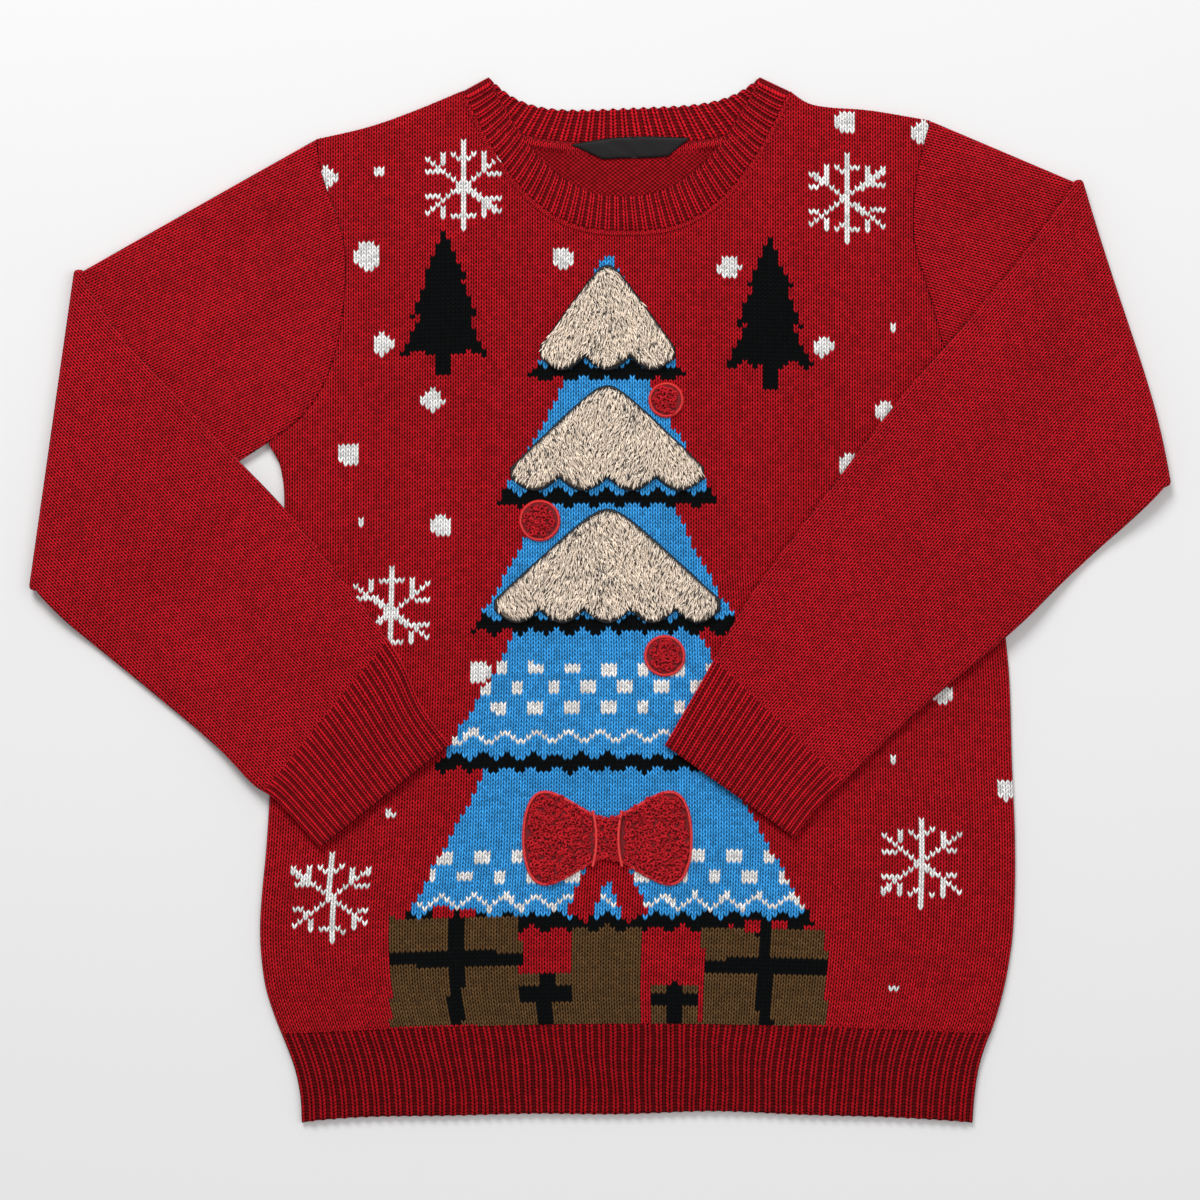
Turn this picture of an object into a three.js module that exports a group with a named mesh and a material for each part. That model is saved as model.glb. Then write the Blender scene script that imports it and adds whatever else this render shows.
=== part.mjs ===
// A crew-neck knitted Christmas sweater, laid on its back on a flat surface with both sleeves
// folded in across the front. Front, back, two sleeves and a neckband are walls of knitted
// fabric. Hem and cuff ribs are knitted in one with their panels. A woven neck label and seven
// patches of pile and looped cloth lie on it.
// Millimetres. +Y runs from the hem to the neck, +Z up from the surface, and +X to the wearer's
// left, which is on the right when the front is looked at.

import * as THREE from 'three';

// Driving sizes
const KNIT = 2.6; // one knitted layer
const AIR = 0.4; // air between two layers that lie on each other
const SEAM = 0.3; // gap between two pieces where they are linked or sewn
const REST = 0.5; // clearance under a folded forearm
const FLAT = 2 * KNIT + AIR; // two layers lying flat
const HEM = -356; // lowest edge of the hem, Y
const HEM_WAVE = 7; // how far the middle of the hem edge lies above its corners
const RIB_TOP = -290; // where the hem rib meets the plain knit, Y
const HEM_RIBS = 62;
const CUFF_RIBS = 19;
const NECK_FRONT_RIBS = 46;
const NECK_BACK_RIBS = 28;
const RIB_CREST = 0.45; // how far a rib stands over the plain surface
const RIB_VALLEY = 0.6; // how far the hollow between two ribs lies under it
const EDGE_ROUND = 5; // how far in from a side edge the cloth rounds down
const EDGE_DROP = 1.7; // how much lower the outer corner of that rounding is
const ARM_EDGE = 0.0135; // share of a flattened sleeve's width that its rounded edge takes up

const RED = 0xa3111c;
const COLOURS = { knit: RED, label: 0x141416, fur: 0xc9b8a6, loop: 0xa90f16 };

// Outline of the body from hem to underarm and from underarm to shoulder tip, on each side
const SIDE_RIGHT = [
  { y: -356, x: -203 }, { y: -338, x: -204 }, { y: -320, x: -207.5 }, { y: -303, x: -213.5 },
  { y: -285, x: -221 }, { y: -260, x: -228.5 }, { y: -222, x: -231.5 }, { y: -165, x: -227 },
  { y: -100, x: -223 }, { y: -34, x: -219 }, { y: 65, x: -215 }, { y: 92, x: -218 },
  { y: 107, x: -226 },
];
const ARMHOLE_RIGHT = [
  { y: 107, x: -226 }, { y: 124, x: -204 }, { y: 144, x: -189.5 }, { y: 169, x: -180 },
  { y: 192, x: -175.5 }, { y: 215, x: -173.4 }, { y: 237, x: -173.6 }, { y: 255, x: -177 },
  { y: 273, x: -183.5 }, { y: 293, x: -190 }, { y: 313.6, x: -193 },
];
const SIDE_LEFT = [
  { y: -356, x: 253.5 }, { y: -337, x: 255 }, { y: -318, x: 258 }, { y: -303, x: 262.5 },
  { y: -291, x: 267.5 }, { y: -271, x: 273.5 }, { y: -250, x: 278 }, { y: -222, x: 281.5 },
  { y: -170, x: 282.7 }, { y: -110, x: 280.5 }, { y: -50, x: 278.5 }, { y: 10, x: 272 },
  { y: 62, x: 265 }, { y: 97, x: 263 }, { y: 115.7, x: 268 },
];
const ARMHOLE_LEFT = [
  { y: 115.7, x: 268 }, { y: 130, x: 251 }, { y: 148, x: 241.5 }, { y: 170, x: 234.6 },
  { y: 192, x: 228.6 }, { y: 217, x: 221.5 }, { y: 233, x: 216.2 }, { y: 250, x: 213.4 },
  { y: 276, x: 214 }, { y: 302, x: 218.3 }, { y: 326.2, x: 224.7 },
];
const SHOULDER_RIGHT = [{ x: -193, y: 313.6 }, { x: -158.8, y: 321.5 }, { x: -128.5, y: 332 }];
const SHOULDER_LEFT = [
  { x: 141, y: 338.4 }, { x: 156, y: 335.2 }, { x: 184.6, y: 333 }, { x: 224.7, y: 326.2 },
];

// The two edges of the neckband, as flattened rings: the one linked to the body, and the free
// one. The free one lies a little higher at the back towards the wearer's left.
const NECK_SEAM = {
  x: 17.9, halfWidth: 111, end: 346.5, front: 95.6, frontPower: 2.7, frontLean: 0, back: 35.5,
  backPower: 4, backLean: 0,
};
const NECK_FREE = {
  x: 16.5, halfWidth: 92.3, end: 356, front: 81.5, frontPower: 2.35, frontLean: 0, back: 21.4,
  backPower: 4.5, backLean: 4,
};

// Each sleeve: the fold across the elbow, and the two long edges of the forearm down to the cuff
const SLEEVE_RIGHT = {
  name: 'sleeve_right', armhole: ARMHOLE_RIGHT, outward: -1,
  foldTop: { x: -357.5, y: 225 }, foldBottom: { x: -388.5, y: 7 }, foldBulge: 0,
  upper: [
    { x: -352, y: 208 }, { x: -307.6, y: 160 }, { x: -264.5, y: 114 }, { x: -214, y: 62 },
    { x: -168, y: 5 }, { x: -137, y: -37 }, { x: -121, y: -72 }, { x: -102, y: -98 },
  ],
  lower: [
    { x: -383, y: 3 }, { x: -355.4, y: -21.6 }, { x: -309, y: -59.6 }, { x: -260, y: -100.6 },
    { x: -236, y: -125 }, { x: -219, y: -137 }, { x: -190.4, y: -168 },
  ],
  cuffLength: 54,
};
const SLEEVE_LEFT = {
  name: 'sleeve_left', armhole: ARMHOLE_LEFT, outward: 1,
  foldTop: { x: 328, y: 286.5 }, foldBottom: { x: 388.5, y: 78 }, foldBulge: 4,
  upper: [
    { x: 319, y: 274 }, { x: 286, y: 233 }, { x: 250, y: 190 }, { x: 202.4, y: 135.3 },
    { x: 150.8, y: 68 }, { x: 103.4, y: 4.8 }, { x: 68.7, y: -55.8 }, { x: 44, y: -98.6 },
  ],
  lower: [
    { x: 384, y: 73 }, { x: 350, y: 44 }, { x: 315, y: 12 }, { x: 279.5, y: -22 }, { x: 214.5, y: -76.8 },
    { x: 174.6, y: -114.9 }, { x: 148.6, y: -139.4 }, { x: 132, y: -161 },
  ],
  cuffLength: 50,
};

// Soft ridges in the layers that lie on the surface: ends, height and half width
const BODY_RIDGES = [
  { x0: -150, y0: 150, x1: -166, y1: 40, height: 2.2, spread: 20 },
  { x0: 176, y0: 214, x1: 140, y1: 110, height: 1.8, spread: 20 },
  { x0: -196, y0: -190, x1: -190, y1: -250, height: 2.4, spread: 22 },
  { x0: 246, y0: -130, x1: 240, y1: -246, height: 2.6, spread: 22 },
  { x0: -226, y0: 276, x1: -310, y1: 226, height: 2.6, spread: 20 },
  { x0: -214, y0: 216, x1: -288, y1: 168, height: 2.0, spread: 18 },
  { x0: 250, y0: 292, x1: 296, y1: 266, height: 2.0, spread: 16 },
];
// The same in the folded forearms
const FOREARM_RIDGES = [
  { x0: -348, y0: 146, x1: -300, y1: 40, height: 2.6, spread: 24 },
  { x0: -262, y0: 56, x1: -204, y1: -26, height: 2.2, spread: 22 },
  { x0: -326, y0: -8, x1: -268, y1: -56, height: 2.0, spread: 20 },
  { x0: 312, y0: 206, x1: 240, y1: 110, height: 2.2, spread: 22 },
  { x0: 346, y0: 106, x1: 274, y1: 26, height: 2.6, spread: 24 },
  { x0: 192, y0: 46, x1: 136, y1: -26, height: 2.2, spread: 20 },
];

// Pile patches on the front: three banks of snow, a bow and three baubles
const TREE_X = 5;
const SNOW_BANKS = [
  { name: 'snow_upper', top: 228, bottom: 156, halfWidth: 46, scallops: 3 },
  { name: 'snow_middle', top: 146, bottom: 74, halfWidth: 66, scallops: 4 },
  { name: 'snow_lower', top: 62, bottom: -16, halfWidth: 77, scallops: 5 },
];
const SNOW_THICKNESS = 5.5;
const SCALLOP_DEPTH = 9;
const SNOW_TIP = 7; // height of a bank at its two ends
// The bow is drawn in to a `waist`, as a share of its full height, and its lobes are blunt, with
// a power of less than 1. The baubles are round.
const LOOP_PATCHES = [
  { name: 'bow', x: 5, y: -162, halfWidth: 58, halfHeight: 54, waist: 0.24, blunt: 0.6 },
  { name: 'bauble_upper', x: 45, y: 136, halfWidth: 12, halfHeight: 12, waist: 1, blunt: 1 },
  { name: 'bauble_middle', x: -41, y: 54, halfWidth: 14, halfHeight: 14, waist: 1, blunt: 1 },
  { name: 'bauble_lower', x: 44, y: -38, halfWidth: 14, halfHeight: 14, waist: 1, blunt: 1 },
];
const LOOP_THICKNESS = 4.2;

const lerp = THREE.MathUtils.lerp;
const clamp = THREE.MathUtils.clamp;
const smooth = THREE.MathUtils.smoothstep;
const point = (x, y, z) => new THREE.Vector3(x, y, z);

// Outlines

// X of an outline at a height Y, through the rows of its table
function outlineX(table, y) {
  const last = table.length - 1;
  let i = 0;
  while (i < last - 1 && y > table[i + 1].y) i++;
  const slope = (k) => {
    const low = table[Math.max(k - 1, 0)];
    const high = table[Math.min(k + 1, last)];
    return (high.x - low.x) / (high.y - low.y);
  };
  const step = table[i + 1].y - table[i].y;
  const t = clamp((y - table[i].y) / step, 0, 1);
  const startPart = table[i].x * (1 + 2 * t) + slope(i) * step * t;
  const endPart = table[i + 1].x * (3 - 2 * t) + slope(i + 1) * step * (t - 1);
  return startPart * (1 - t) * (1 - t) + endPart * t * t;
}

function bodyEdgeX(side, armhole, y) {
  return y < armhole[0].y ? outlineX(side, y) : outlineX(armhole, y);
}

// A smooth plan curve through a few points, read by the share of its length
function planCurve(points) {
  return new THREE.SplineCurve(points.map((p) => new THREE.Vector2(p.x, p.y)));
}

// Y of one half of a neckband edge at an X
function neckY(edge, x, half, gap = 0) {
  const across = clamp((x - edge.x) / (edge.halfWidth + gap), -1, 1);
  const drop = (edge[half] + gap) * (1 - Math.pow(Math.abs(across), edge[half + 'Power']));
  return edge.end - drop + edge[half + 'Lean'] * across * (1 - across * across);
}

function neckEdgeAt(share) {
  const mixed = {};
  for (const key of Object.keys(NECK_SEAM)) mixed[key] = lerp(NECK_SEAM[key], NECK_FREE[key], share);
  return mixed;
}

// Upper edge of a body panel from the right shoulder tip, round the neck, to the left one
const SHOULDER_SHARE = 0.2;
function panelTop(half) {
  const neckEnd = NECK_SEAM.halfWidth + SEAM;
  const right = planCurve([...SHOULDER_RIGHT, { x: NECK_SEAM.x - neckEnd, y: NECK_SEAM.end }]);
  const left = planCurve([{ x: NECK_SEAM.x + neckEnd, y: NECK_SEAM.end }, ...SHOULDER_LEFT]);
  return (u) => {
    if (u <= SHOULDER_SHARE) return right.getPointAt(u / SHOULDER_SHARE);
    if (u >= 1 - SHOULDER_SHARE) return left.getPointAt(clamp((u - 1) / SHOULDER_SHARE + 1, 0, 1));
    const turn = (u - SHOULDER_SHARE) / (1 - 2 * SHOULDER_SHARE);
    const x = NECK_SEAM.x - neckEnd * Math.cos(Math.PI * turn);
    return new THREE.Vector2(x, neckY(NECK_SEAM, x, half, SEAM));
  };
}

// Plan of a body panel: u from the wearer's right to left, v from hem to top
function panelPlan(half) {
  const top = panelTop(half);
  const tipRight = top(0);
  const tipLeft = top(1);
  return (u, v) => {
    const hemX = lerp(SIDE_RIGHT[0].x, SIDE_LEFT[0].x, u);
    const hemY = HEM + HEM_WAVE * Math.sin(Math.PI * u);
    const upper = top(u);
    const right = bodyEdgeX(SIDE_RIGHT, ARMHOLE_RIGHT, lerp(HEM, tipRight.y, v));
    const left = bodyEdgeX(SIDE_LEFT, ARMHOLE_LEFT, lerp(HEM, tipLeft.y, v));
    const bulgeRight = right - lerp(SIDE_RIGHT[0].x, tipRight.x, v);
    const bulgeLeft = left - lerp(SIDE_LEFT[0].x, tipLeft.x, v);
    return {
      x: lerp(hemX, upper.x, v) + (1 - u) * bulgeRight + u * bulgeLeft,
      y: lerp(hemY, upper.y, v),
    };
  };
}

// Heights

function ridgeHeight(ridges, x, y) {
  let sum = 0;
  for (const r of ridges) {
    const dx = r.x1 - r.x0;
    const dy = r.y1 - r.y0;
    const share = clamp(((x - r.x0) * dx + (y - r.y0) * dy) / (dx * dx + dy * dy), 0, 1);
    const away = Math.hypot(x - r.x0 - share * dx, y - r.y0 - share * dy) / r.spread;
    sum += r.height * Math.exp(-away * away);
  }
  return sum;
}

// Distance outside a closed plan outline, 0 within it
function outside(outline, x, y) {
  let nearest = Infinity;
  let inside = false;
  for (let i = 0, j = outline.length - 1; i < outline.length; j = i++) {
    const a = outline[j];
    const b = outline[i];
    if (a.y > y !== b.y > y && x < ((a.x - b.x) * (y - b.y)) / (a.y - b.y) + b.x) inside = !inside;
    const dx = b.x - a.x;
    const dy = b.y - a.y;
    const share = clamp(((x - a.x) * dx + (y - a.y) * dy) / (dx * dx + dy * dy || 1), 0, 1);
    nearest = Math.min(nearest, Math.hypot(x - a.x - share * dx, y - a.y - share * dy));
  }
  return inside ? 0 : nearest;
}

const BODY_OUTLINE = [
  ...SIDE_RIGHT, ...ARMHOLE_RIGHT, ...[...SIDE_LEFT, ...ARMHOLE_LEFT].reverse(),
];
const upperArmOutline = (s) => [...s.armhole, s.foldTop, s.foldBottom];
const SAG_START = 9; // a forearm runs level this far past the edge of what carries it
const SAG_END = 62; // and has come down to the surface this far past it

// Height of the underside of a forearm, over body, upper arm or bare surface
function forearmBase(sleeve, x, y) {
  const bare = Math.min(outside(BODY_OUTLINE, x, y), outside(upperArmOutline(sleeve), x, y));
  return (FLAT + REST + ridgeHeight(BODY_RIDGES, x, y)) * (1 - smooth(bare, SAG_START, SAG_END));
}

function frontTop(x, y) {
  return FLAT + ridgeHeight(BODY_RIDGES, x, y);
}

// Height of one rib profile: two points on its crest, two in the hollow
const ribHeight = (i) => (i % 4 < 2 ? RIB_CREST : -RIB_VALLEY);

// Meshes

// A strip of triangles between two rows of points, which may differ in number. Each step takes
// the shorter of the two possible diagonals.
function strip(triangles, rowA, rowB) {
  const lastA = rowA.length - 1;
  const lastB = rowB.length - 1;
  let a = 0;
  let b = 0;
  while (a < lastA || b < lastB) {
    const toNextA = a < lastA ? rowA[a + 1].distanceToSquared(rowB[b]) : Infinity;
    const toNextB = b < lastB ? rowB[b + 1].distanceToSquared(rowA[a]) : Infinity;
    if (toNextA <= toNextB) {
      triangles.push(rowA[a], rowA[a + 1], rowB[b]);
      a++;
    } else {
      triangles.push(rowA[a], rowB[b + 1], rowB[b]);
      b++;
    }
  }
}

function solid(name, triangles, colour) {
  const geometry = new THREE.BufferGeometry().setFromPoints(triangles);
  geometry.computeVertexNormals();
  const mesh = new THREE.Mesh(geometry, new THREE.MeshStandardMaterial({ color: colour, roughness: 0.95 }));
  mesh.name = name;
  return mesh;
}

// A closed wall between upper rows and lower rows of points, each from right to left of the wearer
function wall(uppers, lowers) {
  const triangles = [];
  for (let i = 0; i + 1 < uppers.length; i++) {
    strip(triangles, uppers[i], uppers[i + 1]);
    strip(triangles, lowers[i + 1], lowers[i]);
    const side = (rows, end) => [rows[i].at(end), rows[i + 1].at(end)];
    strip(triangles, side(uppers, 0), side(lowers, 0));
    strip(triangles, side(lowers, -1), side(uppers, -1));
  }
  strip(triangles, lowers[0], uppers[0]);
  strip(triangles, uppers.at(-1), lowers.at(-1));
  return triangles;
}

// A closed wall swept through loops. Each loop is a list of sides, and each side a row of points
// that starts where the one before it ends.
function loft(loops) {
  const triangles = [];
  loops.forEach((loop, i) => {
    const next = loops[(i + 1) % loops.length];
    loop.forEach((side, k) => strip(triangles, side, next[k]));
  });
  return triangles;
}

// Body panels

// Shares of a width or height at which a panel has its points
const steps = (from, to, count) => Array.from({ length: count + 1 }, (_, i) => lerp(from, to, i / count));
const columns = (shoulderSteps, neckSteps) => [
  0, 0.006, 0.014,
  ...steps(0.014, SHOULDER_SHARE, shoulderSteps).slice(1, -1),
  ...steps(SHOULDER_SHARE, 1 - SHOULDER_SHARE, neckSteps),
  ...steps(1 - SHOULDER_SHARE, 0.986, shoulderSteps).slice(1, -1),
  0.986, 0.994, 1,
];
const FIRST_ROW_V = 0.006;
const MID_RIB_V = 0.045;
const PANEL_HEIGHT = ARMHOLE_RIGHT.at(-1).y - HEM;
const RIB_V = (RIB_TOP - HEM) / PANEL_HEIGHT;
const UNDERARM_V = (ARMHOLE_RIGHT[0].y - HEM) / PANEL_HEIGHT; // the same on the left side
const ARM_ACROSS = 10; // steps across a flattened sleeve, and down the armhole
const ARMHOLE_V = [1, ...steps(1 - ARM_EDGE, ARM_EDGE, ARM_ACROSS), 0].map((w) => lerp(1, UNDERARM_V, w));

// How much a panel has rounded down at an edge, from the distance in from that edge
const rounding = (fromEdge) => {
  const inward = clamp(fromEdge / EDGE_ROUND, 0, 1);
  return EDGE_DROP * (1 - Math.sqrt(1 - (1 - inward) * (1 - inward)));
};

function sideRounding(u, plan) {
  const width = SIDE_LEFT[0].x - SIDE_RIGHT[0].x;
  const belowArm = plan.y < ARMHOLE_RIGHT[0].y ? 1 : 0;
  return belowArm * rounding(Math.min(u, 1 - u) * width);
}

// Rows of a panel above its rib, from the columns of its plain part and those of its neck edge
function plainRows(bodyRows, bodyColumns, neckColumns) {
  const rows = steps(RIB_V + 0.02, UNDERARM_V, bodyRows).slice(0, -1).concat(ARMHOLE_V);
  return rows.map((v) => ({ v, us: v === 1 ? neckColumns : bodyColumns }));
}

function frontPanel() {
  const plan = panelPlan('front');
  const BODY_COLUMNS = columns(4, 16);
  const RIB_COLUMNS = steps(0, 1, HEM_RIBS * 4);
  const upper = (u, v, lift) => {
    const p = plan(u, v);
    return point(p.x, p.y, frontTop(p.x, p.y) - sideRounding(u, p) + lift);
  };
  const lower = (u, v) => {
    const p = plan(u, v);
    return point(p.x, p.y, KNIT + AIR + ridgeHeight(BODY_RIDGES, p.x, p.y));
  };
  const ribRow = (v, drop) => RIB_COLUMNS.map((u, i) => upper(u, v, ribHeight(i) - drop));
  const uppers = [ribRow(0, 0.5), ribRow(FIRST_ROW_V, 0), ribRow(MID_RIB_V, 0), ribRow(RIB_V, 0.3)];
  const lowers = [0, FIRST_ROW_V, MID_RIB_V, RIB_V].map((v) => BODY_COLUMNS.map((u) => lower(u, v)));
  for (const { v, us } of plainRows(10, BODY_COLUMNS, columns(4, NECK_FRONT_RIBS * 2))) {
    uppers.push(us.map((u) => upper(u, v, 0)));
    lowers.push(us.map((u) => lower(u, v)));
  }
  return solid('front', wall(uppers, lowers), COLOURS.knit);
}

function backPanel() {
  const plan = panelPlan('back');
  const COLUMNS = columns(2, 8);
  const rows = [
    ...[0, FIRST_ROW_V, MID_RIB_V, RIB_V].map((v) => ({ v, us: COLUMNS })),
    ...plainRows(8, COLUMNS, columns(2, NECK_BACK_RIBS * 2)),
  ];
  const row = ({ v, us }, height) => us.map((u) => {
    const p = plan(u, v);
    return point(p.x, p.y, height(u, p));
  });
  const uppers = rows.map((each) => row(each, () => KNIT));
  const lowers = rows.map((each) => row(each, sideRounding));
  return solid('back', wall(uppers, lowers), COLOURS.knit);
}

// Neckband

const BAND = { crown: 6.1, seam: 5.5, edge: 5.7, frontUnder: FLAT - KNIT + 0.2, backOver: KNIT + 0.2 };

// One loop of the band at a share of its width: `top` and `base` are the heights of its two halves
function bandLoop(share, top, base, frontCount, backCount, frontLift, backLift) {
  const edge = neckEdgeAt(share);
  const radius = (top - base) / 2;
  const reach = edge.halfWidth - radius;
  const half = (name, count, direction, height, lift) => Array.from({ length: count + 1 }, (_, i) => {
    const x = edge.x - direction * reach * Math.cos((Math.PI * i) / count);
    const ends = Math.min(i, count - i) > 1 ? 1 : 0;
    return point(x, neckY(edge, x, name), height + ends * lift(i));
  });
  const turn = (from, to, direction) => [
    from,
    ...[45, 90, 135].map((degrees) => {
      const a = THREE.MathUtils.degToRad(degrees);
      const flat = degrees < 90 ? from : to;
      return point(
        edge.x + direction * (reach + radius * Math.sin(a)),
        lerp(flat.y, edge.end, Math.sin(a)),
        (top + base) / 2 + ((from.z > to.z ? 1 : -1) * (top - base) * Math.cos(a)) / 2,
      );
    }),
    to,
  ];
  const front = half('front', frontCount, 1, top, frontLift);
  const back = half('back', backCount, -1, base, backLift);
  return [front, turn(front.at(-1), back[0], 1), back, turn(back.at(-1), front[0], -1)];
}

function neckband() {
  const PLAIN = 24;
  const none = () => 0;
  const front = NECK_FRONT_RIBS * 4;
  const back = NECK_BACK_RIBS * 4;
  const loops = [
    bandLoop(0, BAND.seam, 0, front, PLAIN, ribHeight, none),
    bandLoop(0.5, BAND.crown, 0, front, PLAIN, ribHeight, none),
    bandLoop(1, BAND.edge, 0, front, PLAIN, ribHeight, none),
    bandLoop(1, BAND.frontUnder, BAND.backOver, PLAIN, back, none, (i) => ribHeight(i) - RIB_CREST),
    bandLoop(0, BAND.frontUnder, BAND.backOver, PLAIN, back, none, (i) => ribHeight(i) - RIB_CREST),
  ];
  return solid('neckband', loft(loops), COLOURS.knit);
}

// Neck label: a flat satin loop whose ends are mitred under
function neckLabel() {
  const THICK = 1;
  const BASE = BAND.backOver + SEAM;
  const outline = new THREE.Shape([
    [-20, 310], [18, 315.4], [61.5, 314.6], [46, 302], [2, 300],
  ].map(([x, y]) => new THREE.Vector2(x, y)));
  const geometry = new THREE.ExtrudeGeometry(outline, { depth: THICK, bevelEnabled: false });
  const satin = new THREE.MeshStandardMaterial({ color: COLOURS.label, roughness: 0.35 });
  const mesh = new THREE.Mesh(geometry, satin);
  mesh.name = 'neck_label';
  mesh.position.z = BASE;
  return mesh;
}

// Sleeves

const UPPER_STEPS = 5;
const FOREARM_STEPS = 11;
const FOLD_DEGREES = [36, 72, 108, 144, 180];
const FOLD_HEIGHT = FLAT + REST / 2; // height of the line that the sleeve is folded about

function sleeve(spec) {
  const armhole = (w) => {
    const y = lerp(spec.armhole.at(-1).y, spec.armhole[0].y, w);
    return new THREE.Vector2(outlineX(spec.armhole, y) + spec.outward * SEAM, y);
  };
  const foldAlong = new THREE.Vector2(spec.foldBottom.x - spec.foldTop.x, spec.foldBottom.y - spec.foldTop.y);
  const across = new THREE.Vector2(-foldAlong.y, foldAlong.x).normalize();
  if (across.x * spec.outward < 0) across.negate();
  const fold = (w) => {
    const out = spec.foldBulge * Math.sin(Math.PI * w * w) - FOLD_HEIGHT;
    return new THREE.Vector2(
      lerp(spec.foldTop.x, spec.foldBottom.x, w) + across.x * out,
      lerp(spec.foldTop.y, spec.foldBottom.y, w) + across.y * out,
    );
  };
  const upperEdge = planCurve(spec.upper);
  const lowerEdge = planCurve(spec.lower);
  const upperArm = (s, w) => armhole(w).lerp(fold(w), s);
  const forearm = (s, w) => {
    const straight = upperEdge.getPointAt(s).lerp(lowerEdge.getPointAt(s), w);
    return fold(w).lerp(straight, smooth(s, 0, 0.12));
  };

  // Where a point of the flattened tube lies: t is its height in the tube before it is folded
  const onTop = (t) => smooth(t / FLAT, 0.47, 0.53);
  const inUpperArm = (s) => (w, t) => {
    const p = upperArm(s, w);
    return point(p.x, p.y, t + onTop(t) * ridgeHeight(BODY_RIDGES, p.x, p.y));
  };
  const inFold = (degrees) => (w, t) => {
    const angle = THREE.MathUtils.degToRad(degrees);
    const p = fold(w).addScaledVector(across, (FOLD_HEIGHT - t) * Math.sin(angle));
    return point(p.x, p.y, FOLD_HEIGHT - (FOLD_HEIGHT - t) * Math.cos(angle));
  };
  const inForearm = (s) => (w, t) => {
    const p = forearm(s, w);
    const ridges = smooth(s, 0, 0.12) * onTop(FLAT - t) * ridgeHeight(FOREARM_RIDGES, p.x, p.y);
    return point(p.x, p.y, forearmBase(spec, p.x, p.y) + FLAT - t + ridges);
  };
  const stations = [];
  for (let i = 0; i <= UPPER_STEPS; i++) stations.push({ place: inUpperArm(i / UPPER_STEPS), ribbed: 0 });
  for (const degrees of FOLD_DEGREES) stations.push({ place: inFold(degrees), ribbed: 0 });
  const cuffStart = 1 - spec.cuffLength / lowerEdge.getLength();
  for (let i = 1; i <= FOREARM_STEPS; i++) {
    stations.push({ place: inForearm((cuffStart * i) / FOREARM_STEPS), ribbed: 0 });
  }
  stations.push({ place: inForearm(cuffStart + 0.012), ribbed: 1 });
  stations.push({ place: inForearm(lerp(cuffStart, 1, 0.5)), ribbed: 1 });
  stations.push({ place: inForearm(1), ribbed: 1 });

  // A loop round the tube: the layer that ends on top of the fold, one edge, the other layer, the
  // other edge. `inset` is 0 outside the wall and KNIT inside it.
  const loop = ({ place, ribbed }, inset) => {
    const radius = ARM_EDGE * (1 - inset / (FLAT / 2));
    const low = inset;
    const high = FLAT - inset;
    const count = ribbed && inset === 0 ? CUFF_RIBS * 4 : ARM_ACROSS;
    const layer = (steps, t, from, to, lift) => Array.from({ length: steps + 1 }, (_, i) => {
      const p = place(lerp(from, to, i / steps), t);
      p.z += lift(i, steps);
      return p;
    });
    const none = () => 0;
    const ribs = (i, steps) => (Math.min(i, steps - i) > 1 ? ribHeight(i) : 0);
    const outerLayer = layer(count, low, ARM_EDGE, 1 - ARM_EDGE, ribbed && inset === 0 ? ribs : none);
    const innerLayer = layer(ARM_ACROSS, high, 1 - ARM_EDGE, ARM_EDGE, none);
    const bend = (w, direction, start, end) => [
      start,
      ...[60, 120].map((degrees) => {
        const a = THREE.MathUtils.degToRad(degrees);
        const t = FLAT / 2 - direction * (FLAT / 2 - inset) * Math.cos(a);
        return place(w + direction * radius * Math.sin(a), t);
      }),
      end,
    ];
    return [
      outerLayer,
      bend(1 - ARM_EDGE, 1, outerLayer.at(-1), innerLayer[0]),
      innerLayer,
      bend(ARM_EDGE, -1, innerLayer.at(-1), outerLayer[0]),
    ];
  };
  const outer = stations.map((station) => loop(station, 0));
  const inner = stations.map((station) => loop(station, KNIT)).reverse();
  const triangles = loft([...outer, ...inner]);
  if (spec.outward > 0) turnOver(triangles);
  return solid(spec.name, triangles, COLOURS.knit);
}

// Turns each triangle round, for a sleeve that is built in the other direction
function turnOver(triangles) {
  for (let i = 0; i < triangles.length; i += 3) {
    [triangles[i + 1], triangles[i + 2]] = [triangles[i + 2], triangles[i + 1]];
  }
}

// Pile patches

// Height of the underside of a patch, just clear of the front
const patchBase = (x, y) => frontTop(x, y) + SEAM;

// A bank of snow on a bough: scalloped below, and sloping up to a rounded peak
function snowBank({ name, top, bottom, halfWidth, scallops }) {
  const PEAK = 0.15; // how blunt the peak is
  const ROWS = [
    { share: 0, lift: 0.55 }, { share: 0.1, lift: 0.9 }, { share: 0.35, lift: 1 },
    { share: 0.7, lift: 1 }, { share: 0.92, lift: 0.9 }, { share: 1, lift: 0.55 },
  ];
  const us = steps(-1, 1, scallops * 4);
  const rise = (u) => (Math.hypot(1, PEAK) - Math.hypot(u, PEAK)) / (Math.hypot(1, PEAK) - PEAK);
  const place = (u, share) => {
    const lobe = Math.abs(Math.sin((Math.PI * scallops * (u + 1)) / 2));
    const shoulder = bottom + SCALLOP_DEPTH + SNOW_TIP;
    const low = bottom + SCALLOP_DEPTH * (1 - lobe);
    return { x: TREE_X + halfWidth * u, y: lerp(low, lerp(shoulder, top, rise(u)), share) };
  };
  const row = (share, lift) => us.map((u) => {
    const p = place(u, share);
    const ends = lerp(0.6, 1, smooth(1 - Math.abs(u), 0, 0.12));
    return point(p.x, p.y, patchBase(p.x, p.y) + lift * ends * SNOW_THICKNESS);
  });
  const uppers = ROWS.map(({ share, lift }) => row(share, lift));
  const lowers = ROWS.map(({ share }) => row(share, 0));
  return solid(name, wall(uppers, lowers), COLOURS.fur);
}

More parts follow.
